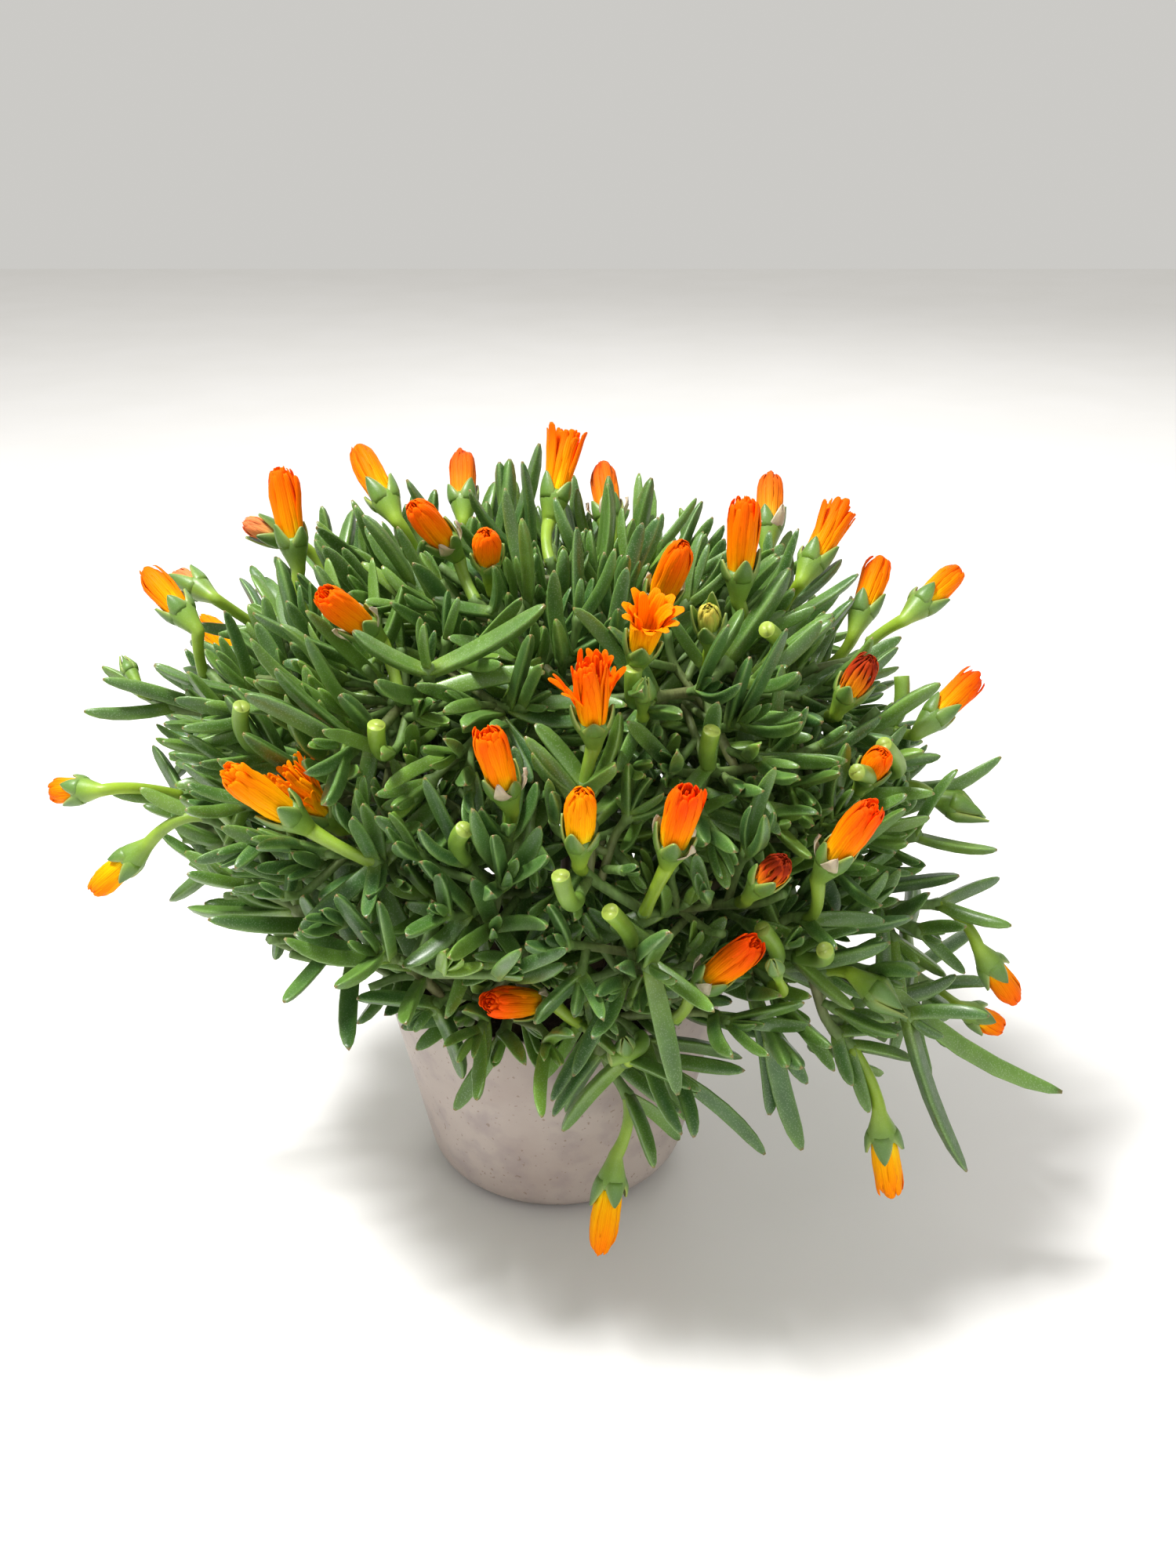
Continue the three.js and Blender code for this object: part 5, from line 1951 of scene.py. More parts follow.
class PotFinish(Finish):
    """Thin smooth plastic in a warm grey, faintly mottled, darker and browner along the foot and at the rim,
    with specks of soil.
    """

    name = "pot"
    roughness = 0.42
    bump = 0.12
    bump_depth = 0.3
    dark: Colour = (0.37, 0.3, 0.265)
    light: Colour = (0.44, 0.375, 0.335)
    bruise: Colour = (0.26, 0.21, 0.215)
    foot_dark: Colour = (0.11, 0.06, 0.03)
    foot_dark_heights = (1.0, 4.5)
    rim_dark: Colour = (0.3, 0.22, 0.16)
    rim_dark_depth = 5
    speck: Colour = (0.2, 0.13, 0.09)

    def surface(self, graph: Graph) -> Surface:
        """Returns what changes over the pot."""
        clouds = graph.noise(26, 4)
        veils = graph.noise(9, 5)
        base = graph.mix(graph.span(clouds, 0.35, 0.65), self.dark, self.light)
        bruised = graph.mix(graph.span(veils, 0.48, 0.72, 0, 0.5), base, self.bruise)
        place = graph.add("ShaderNodeSeparateXYZ")
        graph.join(graph.add("ShaderNodeTexCoord").outputs["Object"], place.inputs[0])
        wander = graph.math("MULTIPLY", graph.math("SUBTRACT", graph.noise(5), 0.5), 3 * MM)
        height = graph.math("ADD", place.outputs[2], wander)
        # Darker and browner towards the bottom, along the foot
        low, high = self.foot_dark_heights
        foot_darkened = graph.mix(graph.span(height, low * MM, high * MM, 0.85, 0), bruised, self.foot_dark)
        # Darker and browner towards the rim
        rim = graph.span(height, (POT.height - self.rim_dark_depth) * MM, POT.height * MM, 0, 0.45)
        rim_darkened = graph.mix(rim, foot_darkened, self.rim_dark)
        specks = graph.span(graph.noise(1.4, 1), 0.68, 0.74, 0, 0.6)
        colour = graph.mix(specks, rim_darkened, self.speck)
        return Surface(colour, veils, graph.span(clouds, 0.3, 0.7, 0.36, 0.55))


class SoilFinish(Finish):
    """Dark crumbly potting soil."""

    name = "soil"
    roughness = 0.95
    bump = 1.0
    bump_depth = 1.2
    body: Ramp = ((0, (0.02, 0.011, 0.006)), (0.7, (0.06, 0.034, 0.018)), (1, (0.2, 0.13, 0.08)))
    shade: Colour = (0.3, 0.25, 0.2)

    def surface(self, graph: Graph) -> Surface:
        """Returns what changes over the soil."""
        _, _, tone = self.tints(graph)
        crumbs = graph.noise(1.8, 6)
        share = graph.span(crumbs, 0.35, 0.65, 0.7, 0)
        return Surface(graph.mix(share, graph.ramp(tone, self.body), self.shade, "MULTIPLY"), crumbs)


def stand_for(piece: bpy.types.Object, node: str) -> None:
    """Makes a piece stand for a solid.

    Args:
        piece: the piece.
        node: the solid's node.
    """
    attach(piece, "root")
    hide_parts(node)


@dataclass(frozen=True)
class Leaves:
    """Makes the leaves, with one outline along their length and one rounded three-sided section."""

    shares: tuple[float, ...] = (0.01, 0.1, 0.26, 0.46, 0.64, 0.8, 0.92, 0.985)
    widths: tuple[float, ...] = (0.76, 0.88, 0.98, 1, 0.96, 0.82, 0.53, 0.17)
    depths: tuple[float, ...] = (0.85, 0.95, 1, 0.99, 0.93, 0.78, 0.5, 0.18)
    section: tuple[tuple[float, float], ...] = (
        (-1, 0.55), (-0.6, -0.2), (-0.16, -0.95), (0.16, -0.95), (0.6, -0.2),
        (1, 0.55), (0.84, 0.9), (0, 0.6), (-0.84, 0.9),
    )
    ridges: tuple[float, ...] = (1, 0, 1, 1, 0, 1, 0.8, 0, 0.8)
    slimness: tuple[float, float] = (0.76, 0.94)
    pull_share: float = 0.6
    sway: float = 0.12
    bow: tuple[float, float] = (-0.1, 0.04)
    flat_share: float = 0.4
    tone_reach: float = 40
    tone_shares: tuple[float, ...] = (0.4, 0.35, 0.25)
    seeds_per_shoot: int = 64
    finish: bpy.types.Material = field(default_factory=lambda: LeafFinish().make())

    def build(self, shoots: Sequence[Shoot], label: str) -> None:
        """Makes the leaves of one stem's shoots.

        Args:
            shoots: the shoots.
            label: the stem's number as it stands in names.
        """
        form = Form()
        for shoot in shoots:
            vigour = draw(shoot.number, Draw.VIGOUR)
            for place, pair in enumerate(shoot.pairs + shoot.more):
                youth = 1 - min(pair.back / self.tone_reach, 1)
                for side, line in enumerate(pair.lines):
                    seed = shoot.number * self.seeds_per_shoot + place * 2 + side
                    own = draw(seed, Draw.LEAF_TONE)
                    tone = np.array(self.tone_shares) @ [own, vigour, youth]
                    self._add_leaf(form, line, pair.axis, pair.scale, seed, tone)
        stand_for(form.build(f"leaves_{label}", self.finish), f"stem_{label}")

    def _add_leaf(
        self, form: Form, line: tuple[Vec, Vec, Vec], axis: Vec, scale: float, seed: int, tone: float
    ) -> None:
        """Adds one fleshy leaf: a flat upper face towards the shoot and a keel below.

        Args:
            form: the mesh that it goes into.
            line: its foot, shoulder and tip.
            axis: the shoot's direction at its foot.
            scale: its width against a full-grown leaf's.
            seed: picks its own sway, bow and girth.
            tone: 0 for a dark leaf and 1 for a light one.
        """
        foot, shoulder, tip = line
        along = unit(shoulder - foot)
        across = unit(np.cross(axis, along))
        upper = np.cross(along, across)
        reach = length_of(tip - foot)
        sway = between(-self.sway, self.sway, draw(seed, Draw.LEAF_SWAY)) * reach
        bow = between(*self.bow, draw(seed, Draw.LEAF_BOW)) * reach
        pull = foot + along * (self.pull_share * reach) + across * sway + upper * bow
        line_points = curve_points(foot, pull, tip, np.array(self.shares))
        sides, uppers = frames_along(line_points, across)
        sideways, upwards = np.array(self.section).T
        heights = np.where(upwards > 0, self.flat_share, PLANT.keel_share) * upwards
        size = scale * between(*self.slimness, draw(seed, Draw.LEAF_GIRTH))
        wide = np.array(self.widths)[:, None, None] * (size * PLANT.leaf_width / 2)
        deep = np.array(self.depths)[:, None, None] * (size * PLANT.leaf_depth)
        rings = (
            line_points[:, None]
            + wide * sideways[None, :, None] * sides[:, None]
            + deep * heights[None, :, None] * uppers[:, None]
        )
        tints = np.empty(rings.shape)
        tints[..., 0] = np.array(self.shares)[:, None]
        tints[..., 1] = np.array(self.ridges)[None]
        tints[..., 2] = tone
        form.loft(rings, tints)


@dataclass(frozen=True)
class Wood:
    """Makes the wood of stems and shoots, which swells at each pair of leaves and browns with age."""

    stem_sides: int = 10
    shoot_sides: int = 7
    stem_radii: tuple[float, ...] = (2.7, 2.6, 2.3)
    shoot_radius: float = 1.5
    side_radius: float = 1.2
    start_radius: float = 1.2
    swelling: float = 0.75
    swelling_reach: float = 2.6
    step: float = 2.1
    browning_length: float = 85
    cut_corner: float = 5
    legs_per_cut: float = 2.2
    round_steps: int = 4
    stem_youth: float = 0.12
    stem_tone: float = 0.4
    finish: bpy.types.Material = field(default_factory=lambda: WoodFinish().make())

    def build(self, stem: Stem, shoots: Sequence[Shoot], label: str, first_side: int) -> None:
        """Makes the wood of one stem and its shoots.

        Args:
            stem: the stem.
            shoots: its shoots.
            label: its number as it stands in names.
            first_side: the number of the first of the thinner side shoots.
        """
        form = Form()
        line = self._resampled(self._rounded(stem.line))
        shares = np.linspace(0, 1, len(line))
        radii = np.interp(shares, (0, 0.5, 1), self.stem_radii)
        tints = np.zeros((len(line), 3))
        tints[:, 0] = self.stem_youth * shares
        tints[:, 2] = self.stem_tone
        form.tube(line, radii, self.stem_sides, tints)
        for shoot in shoots:
            radius = self.shoot_radius if shoot.number < first_side else self.side_radius
            self._add_shoot(form, shoot, radius)
        stand_for(form.build(f"wood_{label}", self.finish), f"stem_{label}")

    def _add_shoot(self, form: Form, shoot: Shoot, radius: float) -> None:
        """Adds a shoot's wood, which swells where each pair of leaves grows out.

        Args:
            form: the mesh that it goes into.
            shoot: the shoot.
            radius: its radius between the pairs.
        """
        line = self._resampled(self._rounded(shoot.line))
        gaps = np.linalg.norm(np.diff(line, axis=0), axis=1)
        back = np.concatenate([np.cumsum(gaps[::-1])[::-1], [0]])
        radii = np.full(len(line), radius)
        for pair in shoot.pairs + shoot.more:
            nearness = np.clip(1 - np.abs(back - pair.back) / self.swelling_reach, 0, 1)
            radii += self.swelling * pair.scale * nearness * nearness * (3 - 2 * nearness)
        radii[:2] = np.minimum(radii[:2], self.start_radius)
        tints = np.empty((len(line), 3))
        tints[:, 0] = np.clip(1 - back / self.browning_length, 0, 1)
        tints[:, 1] = 0
        tints[:, 2] = draw(shoot.number, Draw.WOOD_TONE)
        form.tube(line, radii, self.shoot_sides, tints)

    def _rounded(self, points: Sequence[Vec]) -> np.ndarray:
        """Rounds off the corners of a line of wood.

        Args:
            points: the line.

        Returns:
            The points of the rounded line.
        """
        out = [points[0]]
        for before, corner, after in zip(points, points[1:], points[2:]):
            legs = length_of(corner - before), length_of(after - corner)
            reach = min(self.cut_corner, *(leg / self.legs_per_cut for leg in legs))
            start = corner + unit(before - corner) * reach
            end = corner + unit(after - corner) * reach
            out += list(curve_points(start, corner, end, np.linspace(0, 1, self.round_steps)))
        out.append(points[-1])
        return np.array(out)

    def _resampled(self, points: np.ndarray) -> np.ndarray:
        """Spaces points evenly along a line of wood.

        Args:
            points: the line.

        Returns:
            The points, a step apart.
        """
        gaps = np.linalg.norm(np.diff(points, axis=0), axis=1)
        places = np.concatenate([[0], np.cumsum(gaps)])
        count = max(int(round(places[-1] / self.step)), 2)
        wanted = np.linspace(0, places[-1], count + 1)
        return np.stack([np.interp(wanted, places, points[:, k]) for k in range(3)], -1)


@dataclass(frozen=True)
class Bloom:
    """A bloom's own frame: heights run along its axis from the calyx's mouth."""

    site: Site
    side: Vec
    seed: int

    def point(self, turn: np.ndarray, radius: np.ndarray, height: np.ndarray) -> np.ndarray:
        """Finds points round the bloom.

        Args:
            turn: angles round the axis, in radians.
            radius: distances from the axis.
            height: heights along the axis.

        Returns:
            A point for each.
        """
        axis = self.site.axis
        second = np.cross(axis, self.side)
        across = np.cos(turn)[..., None] * self.side + np.sin(turn)[..., None] * second
        return self.site.mouth + radius[..., None] * across + height[..., None] * axis


def stalk_side(shoot: Shoot) -> Vec:
    """Follows the corners of a shoot's square stalk to its end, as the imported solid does.

    Args:
        shoot: a shoot that bears a bloom, a bud or a cut.

    Returns:
        The side from which its sepals are counted.
    """
    axis = unit(shoot.line[1] - shoot.line[0])
    stations = [(math.inf, axis, None)]
    backs = bends_of(shoot.line)
    if not any(pair.back == PLANT.node_back for pair in shoot.pairs):
        backs.append(0.0)
    stations += [(back, back_along(shoot.line, back)[1], None) for back in backs]
    for pair in shoot.pairs:
        stations.append((pair.back + PLANT.node_half, pair.axis, pair.side))
        stations.append((pair.back - PLANT.node_half, pair.axis, pair.side))
    stations.sort(key=lambda row: -row[0])
    way: Vec | None = None
    for _, axis, side in stations:
        facing = side if side is not None else way
        if facing is None:
            facing = side_of(axis)
        if side is not None or way is None:
            facing = turned(facing, axis, -math.pi / 4)
        first = unit(facing - axis * (facing @ axis))
        corners = [first, np.cross(axis, first), -first, -np.cross(axis, first)]
        nearness = [corner @ way if way is not None else 0.0 for corner in corners]
        way = corners[nearness.index(max(nearness))]
    axis = shoot.site.axis
    return unit(way - axis * (way @ axis))


@dataclass(frozen=True)
class SepalShape:
    """The form of one sepal.

    Attributes:
        radii: how far its inside is from the bloom's axis, from its foot to its tip.
        half_width: half its width at its foot.
        thickness: how much thicker its middle is than its edges.
        edge_thickness: thickness of its edges.
        crumple: depth of its waves.
        waves: how often it waves along and across, in radians.
        tints: its place in the stalk's colours at its foot and tip.
        margin: how pale its edges are.
    """

    radii: tuple[float, ...] = (2.9, 3.9, 4.5, 4.9)
    half_width: float = 3.2
    thickness: float = 1.25
    edge_thickness: float = 0.28
    crumple: float = 0
    waves: tuple[float, float] = (7, 4)
    tints: tuple[float, float] = (0.55, 0.92)
    margin: float = 1


FRESH_SEPAL = SepalShape()
BUD_SEPAL = SepalShape(radii=(3.0, 3.9, 2.6, 0.7))
FLAKE = SepalShape(
    radii=(3.6, 5.0, 6.3, 6.2),
    half_width=2.5,
    thickness=0.05,
    edge_thickness=0.16,
    crumple=0.45,
    tints=(0.97, 1),
    margin=0,
)


@dataclass(frozen=True)
class Stalks:
    """Makes the stalks with their cuts or clubs, and the sepals round the petals or over a bud."""

    club_heights: tuple[float, ...] = (-9, -8, -6.8, -5.4, -4, -2.6, -1.2, 0, 0.7)
    club_radii: tuple[float, ...] = (0.36, 0.4, 0.46, 0.54, 0.63, 0.71, 0.76, 0.74, 0.58)
    young_stretch: float = 1.25
    stalk_sides: int = 14
    stalk_steps: int = 14
    stalk_pull: float = 0.4
    stalk_places: tuple[float, ...] = (0, 0.35, 0.7, 1)
    stalk_radii: tuple[float, ...] = (1.8, 1.6, 1.7)
    stalk_root: float = 2
    stalk_tints: tuple[float, ...] = (0, 0.25, 0.6)
    stub_tints: tuple[float, ...] = (0.55, 0.36)
    cut_heights: tuple[float, ...] = (0.12, 0.02, -0.12, -0.1, -0.04)
    cut_radii: tuple[float, ...] = (0.97, 0.82, 0.64, 0.52, 0.34)
    cut_paleness: tuple[float, ...] = (0.5, 1, 0, 0, 1)
    cut_tints: tuple[float, ...] = (0.3, 0.25, 0.9, 0.9, 0.25)
    sepal_steps: tuple[float, ...] = (0, 0.14, 0.3, 0.46, 0.62, 0.76, 0.88, 0.96, 1)
    sepal_widths: tuple[float, ...] = (1, 1, 0.92, 0.79, 0.63, 0.47, 0.31, 0.18, 0.06)
    sepal_places: tuple[float, ...] = (0, 0.25, 0.6, 1)
    sepal_share: float = 0.76
    sepal_root: float = -2.4
    sepal_taper: float = 0.65
    least_turn_radius: float = 1.5
    flake_turns: tuple[float, ...] = (0.8, 2.5, 4.1)
    flake_lengths: tuple[float, ...] = (5.2, 3.6, 4.6)
    sepal_across: tuple[float, ...] = (-1, -0.72, -0.4, 0, 0.4, 0.72, 1)
    finish: bpy.types.Material = field(default_factory=lambda: StalkFinish().make())

    def build(self, shoots: Sequence[Shoot], label: str) -> None:
        """Makes the stalks and calyxes of one stem's shoots, if they have any.

        Args:
            shoots: the shoots.
            label: the stem's number as it stands in names.
        """
        form = Form()
        for shoot in shoots:
            if shoot.site is None:
                continue
            self._add_stalk(form, shoot)
            if shoot.kind is not Kind.STALK:
                self._add_calyx(form, Bloom(shoot.site, stalk_side(shoot), shoot.number))
        if form.count:
            stand_for(form.build(f"stalks_{label}", self.finish), f"stem_{label}")

    def _add_stalk(self, form: Form, shoot: Shoot) -> None:
        """Adds the stalk from a shoot's end to its cut, or to its bloom or bud with the club below it.

        Args:
            form: the mesh that it goes into.
            shoot: the shoot.
        """
        site = shoot.site
        _, axis = back_along(shoot.line, 0)
        is_cut = site.kind is Kind.STALK
        start = shoot.end - axis * self.stalk_root
        far = site.mouth if is_cut else site.neck
        reach = self.stalk_pull * length_of(far - start)
        pull = shoot.end + axis * reach
        if not is_cut:
            pull = (pull + far - site.axis * reach) / 2
        shares = np.linspace(0, 1, self.stalk_steps)
        line = curve_points(start, pull, far, shares)
        tone = draw(shoot.number, Draw.STALK_TONE)
        if is_cut:
            line, radii, tints = self._with_cut(line, shares, tone)
        else:
            line, radii, tints = self._with_club(line, shares, site, tone)
        form.tube(line, radii, self.stalk_sides, tints)

    def _with_cut(self, line: np.ndarray, shares: np.ndarray, tone: float) -> tuple[np.ndarray, ...]:
        """Ends a stalk with a pale rim round a ringed cut face.

        Args:
            line: the stalk's middle line.
            shares: places of its points from 0 to 1.
            tone: its shade.

        Returns:
            The line with the cut, and its radii and tints.
        """
        radii = between(PLANT.shoot_radius, PLANT.stub_radius, shares**0.5)
        lip = unit(line[-1] - line[-2])
        line = np.concatenate([line, line[-1] + np.array(self.cut_heights)[:, None] * lip])
        radii = np.concatenate([radii, radii[-1] * np.array(self.cut_radii)])
        along = np.concatenate([between(*self.stub_tints, shares), self.cut_tints])
        tints = np.stack([along, 0 * radii, 0 * radii + tone], -1)
        tints[-len(self.cut_paleness) :, 1] = self.cut_paleness
        return line, radii, tints

    def _with_club(
        self, line: np.ndarray, shares: np.ndarray, site: Site, tone: float
    ) -> tuple[np.ndarray, ...]:
        """Ends a stalk with the club that swells below a bloom or bud.

        Args:
            line: the stalk's middle line.
            shares: places of its points from 0 to 1.
            site: where the bloom or bud is.
            tone: its shade.

        Returns:
            The line with the club, and its radii and tints.
        """
        first, middle, last = self.stalk_tints
        club = np.array(self.club_radii) * PLANT.calyx_radius * site.girth
        stalk = np.interp(shares[:-1], self.stalk_places, (*self.stalk_radii, club[0]))
        line = np.concatenate([line[:-1], site.mouth + np.array(self.club_heights)[:, None] * site.axis])
        radii = np.concatenate([stalk, club])
        along = np.concatenate([between(first, middle, shares[:-1]), np.linspace(middle, last, len(club))])
        return line, radii, np.stack([along, 0 * along, 0 * along + tone], -1)

    def _add_calyx(self, form: Form, bloom: Bloom) -> None:
        """Adds the sepals that clasp the petals of a bloom, or close over a bud.

        Args:
            form: the mesh that they go into.
            bloom: the bloom or bud.
        """
        site = bloom.site
        is_young = site.look in YOUNG_LOOKS or site.kind is Kind.BUD
        stretch = self.young_stretch if is_young else self.sepal_share
        shape = BUD_SEPAL if site.kind is Kind.BUD else FRESH_SEPAL
        for i, length in enumerate(PLANT.sepal_lengths):
            self._add_sepal(form, bloom, shape, i * math.pi / 2, length * site.girth * stretch)
        if site.is_withered:
            for turn, length in zip(self.flake_turns, self.flake_lengths):
                self._add_sepal(form, bloom, FLAKE, turn, length)

    def _add_sepal(self, form: Form, bloom: Bloom, shape: SepalShape, turn: float, length: float) -> None:
        """Adds one sepal: fleshy along its middle with thin pale margins, or a thin withered flake.

        Args:
            form: the mesh that it goes into.
            bloom: the bloom or bud that it belongs to.
            shape: its form.
            turn: where round the axis it stands, in radians.
            length: how far it reaches past the calyx's mouth.
        """
        site = bloom.site
        share = np.array(self.sepal_steps)[:, None]
        across = np.array(self.sepal_across)[None]
        height = between(self.sepal_root, length, share) + 0 * across
        waves = shape.crumple * share * np.sin(shape.waves[0] * share + shape.waves[1] * across + turn)
        inner = np.interp(share, self.sepal_places, shape.radii) * site.girth + waves
        half_width = shape.half_width * site.girth * np.array(self.sepal_widths)[:, None]
        angle = turn + across * half_width / np.maximum(inner, self.least_turn_radius)
        bulge = 1 - across**2
        taper = 1 - self.sepal_taper * share
        thick = shape.edge_thickness + shape.thickness * bulge * taper * site.girth
        outside = bloom.point(angle, inner + thick, height)
        inside = bloom.point(angle[:, ::-1], inner[:, ::-1], height)
        rings = np.concatenate([outside, inside], axis=1)
        tints = np.empty(rings.shape)
        tints[..., 0] = between(*shape.tints, share)
        margin = np.concatenate([across, across[:, ::-1]], axis=1) ** 2
        tints[..., 1] = shape.margin * margin**2
        tints[..., 2] = draw(bloom.seed, Draw.SEPAL_TONE)
        form.loft(rings, tints)


@dataclass(frozen=True)
class PetalHabit:
    """How the petals of a bloom stand.

    Attributes:
        tip: the bundle's radius at its tip against its belt.
        lengths: range of petal lengths against the longest.
        curl: how far tips bend in or out, in millimetres.
        lean: how far a petal may lean round the axis, in radians.
        strays: the share of petals that bend outwards.
        stray_reach: how far those bend, against the belt.
        width: petals' width against the usual one; there are more of them if it is less.
        whorls: how many of the whorls it has, from the outside in.
    """

    tip: float
    lengths: tuple[float, float]
    curl: float
    lean: float
    strays: float
    stray_reach: tuple[float, float]
    width: float
    whorls: int = 4


HABITS = {
    Spread.DOMED: PetalHabit(0.45, (0.92, 1.03), 0.35, 0.2, 0.02, (0.15, 0.4), 1),
    Spread.RAGGED: PetalHabit(0.72, (0.88, 1.02), 0.5, 0.25, 0.04, (0.15, 0.5), 1),
    Spread.FLARED: PetalHabit(1.15, (0.84, 1.03), 0.6, 0.25, 0.12, (0.3, 0.9), 1),
    Spread.OPEN: PetalHabit(2.0, (0.8, 1.04), 0.3, 0.12, 0, (0, 0), 1.3, whorls=2),
    Spread.SPIKY: PetalHabit(0.95, (0.72, 1.02), 0.9, 0.6, 0.38, (0.3, 1.9), 0.72),
}


@dataclass(frozen=True)
class Petals:
    """Makes the many narrow petals of a bloom, in whorls from the outside in."""

    counts: tuple[int, ...] = (13, 11, 8, 5)
    depths: tuple[float, ...] = (1, 0.8, 0.55, 0.28)
    shares: tuple[float, ...] = (0, 0.16, 0.36, 0.56, 0.74, 0.88, 0.965, 1)
    radii: tuple[float, ...] = (0.66, 0.82, 0.93, 1, 1.03, 1.03, 1.02, 1)
    closing: tuple[float, ...] = (0, 0, 0, 0, 0.06, 0.3, 0.64, 1)
    widths: tuple[float, ...] = (0.6, 0.8, 0.95, 1, 0.99, 0.92, 0.74, 0.36)
    belt: float = 0.79
    half_width: float = 1.6
    width_range: tuple[float, float] = (0.85, 1.1)
    thickness: float = 0.45
    edge_thinning: float = 0.75
    tip_thinning: float = 0.5
    fold: float = 0.12
    root: float = -2.6
    across: tuple[float, ...] = (-1, -0.4, 0.4, 1)
    inner_growth: float = 0.05
    turn_sway: float = 0.2
    radius_sway: float = 0.15
    least_radius: float = 0.35
    least_turn_radius: float = 2.2
    stray_drop: float = 0.3
    curl_start: float = 0.7
    curl_gain: float = 3
    crumples: float = 1.6
    crumple_depth: float = 0.22
    young_size: float = 0.78
    dried_length: float = 0.8
    dried_widths: tuple[float, float] = (0.6, 0.3)
    dried_waves: float = 9
    first_seed: int = 11
    finishes: dict[Look, bpy.types.Material] = field(
        default_factory=lambda: {look: PetalFinish(look).make() for look in Look}
    )

    def build(self, shoot: Shoot, label: str) -> None:
        """Makes the petals of one bloom.

        Args:
            shoot: the shoot that bears it.
            label: its number as it stands in names.
        """
        form = Form()
        bloom = Bloom(shoot.site, stalk_side(shoot), shoot.number)
        rng = np.random.default_rng(bloom.seed + self.first_seed)
        habit = HABITS[bloom.site.spread]
        for usual, depth in zip(self.counts[: habit.whorls], self.depths):
            count = round(usual / habit.width)
            for i in range(count):
                sway = rng.uniform(-self.turn_sway, self.turn_sway)
                self._add_petal(form, bloom, 2 * math.pi * (i + depth + sway) / count, depth, rng)
        piece = form.build(f"bloom_{label}", self.finishes[shoot.site.look])
        stand_for(piece, f"petals_{label}")

    def _add_petal(
        self, form: Form, bloom: Bloom, turn: float, depth: float, rng: np.random.Generator
    ) -> None:
        """Adds one petal.

        Args:
            form: the mesh that it goes into.
            bloom: the bloom that it belongs to.
            turn: where round the axis it stands, in radians.
            depth: its distance from the axis against the outermost petals'.
            rng: the bloom's own draws.
        """
        site = bloom.site
        habit = HABITS[site.spread]
        size = site.girth * (self.young_size if site.look in YOUNG_LOOKS else 1)
        radius, height = self._middle(site, depth, size, rng)
        share = np.array(self.shares)[:, None]
        across = np.array(self.across)[None]
        half_width = self.half_width * habit.width * size * np.array(self.widths)[:, None]
        half_width = half_width * rng.uniform(*self.width_range)
        if site.look is Look.DRIED:
            usual, wave = self.dried_widths
            half_width = half_width * (usual + wave * np.sin(self.dried_waves * share + turn))
        lean = habit.lean * rng.uniform(-1, 1) * share**2
        angle = turn + lean + across * half_width / np.maximum(radius, self.least_turn_radius)
        fold = self.fold * half_width * across**2
        thick = self.thickness * (1 - self.edge_thinning * across**2) * (1 - self.tip_thinning * share)
        heights = height + 0 * across
        outside = bloom.point(angle, radius + thick / 2 - fold, heights)
        inside = bloom.point(angle[:, ::-1], radius - thick[:, ::-1] / 2 - fold[:, ::-1], heights)
        rings = np.concatenate([outside, inside], axis=1)
        tints = np.empty(rings.shape)
        tints[..., 0] = np.clip((height - self.root) / (site.length - self.root), 0, 1)
        tints[..., 1] = np.concatenate([across, across[:, ::-1]], axis=1) / 2 + 0.5
        tints[..., 2] = rng.random()
        form.loft(rings, tints)

    def _middle(
        self, site: Site, depth: float, size: float, rng: np.random.Generator
    ) -> tuple[np.ndarray, np.ndarray]:
        """Finds the middle line of one petal.

        Args:
            site: where its bloom is.
            depth: its distance from the axis against the outermost petals'.
            size: its girth against a full-grown bloom's.
            rng: the bloom's own draws.

        Returns:
            Its radii and its heights from foot to tip, each as a column.
        """
        habit = HABITS[site.spread]
        share = np.array(self.shares)[:, None]
        reach = site.length * rng.uniform(*habit.lengths) * (1 + self.inner_growth * (1 - depth))
        if site.look in YOUNG_LOOKS:
            reach *= self.young_size
        if site.look is Look.DRIED:
            reach *= self.dried_length
        belt = PLANT.petal_radius * self.belt * size
        height = between(self.root, reach, share)
        opening = (habit.tip - 1) * (depth if habit.tip > 1 else 1)
        opened = 1 + opening * np.array(self.closing)[:, None]
        radius = np.array(self.radii)[:, None] * opened * belt * depth
        if rng.random() < habit.strays:
            stray = belt * rng.uniform(*habit.stray_reach) * share**2
            radius = radius + stray
            height = height - self.stray_drop * stray
        curl = habit.curl * rng.uniform(-1, 1) * size * self.curl_gain
        crumple = np.sin(2 * math.pi * (self.crumples * share + rng.random())) * share
        sway = rng.uniform(-self.radius_sway, self.radius_sway)
        bend = curl * np.clip(share - self.curl_start, 0, 1)
        radius = radius + bend + sway + self.crumple_depth * crumple
        return np.maximum(radius, self.least_radius), height


@dataclass(frozen=True)
class PlantBuilder:
    """Makes the pieces of the plant, stem by stem and then bloom by bloom."""

    plant: Plant
    leaves: Leaves = field(default_factory=Leaves)
    wood: Wood = field(default_factory=Wood)
    stalks: Stalks = field(default_factory=Stalks)
    petals: Petals = field(default_factory=Petals)

    def build(self) -> None:
        """Makes every piece."""
        shoots = self.plant.shoots + self.plant.side_shoots
        for index, stem in enumerate(self.plant.stems):
            label = f"{index + 1:02d}"
            borne = [shoot for shoot in shoots if shoot.stem == index]
            self.leaves.build(borne, label)
            self.wood.build(stem, borne, label, len(self.plant.shoots))
            self.stalks.build(borne, label)
        blooms = [shoot for shoot in self.plant.shoots if shoot.kind is Kind.BLOOM]
        for index, shoot in enumerate(blooms):
            self.petals.build(shoot, f"{index + 1:02d}")


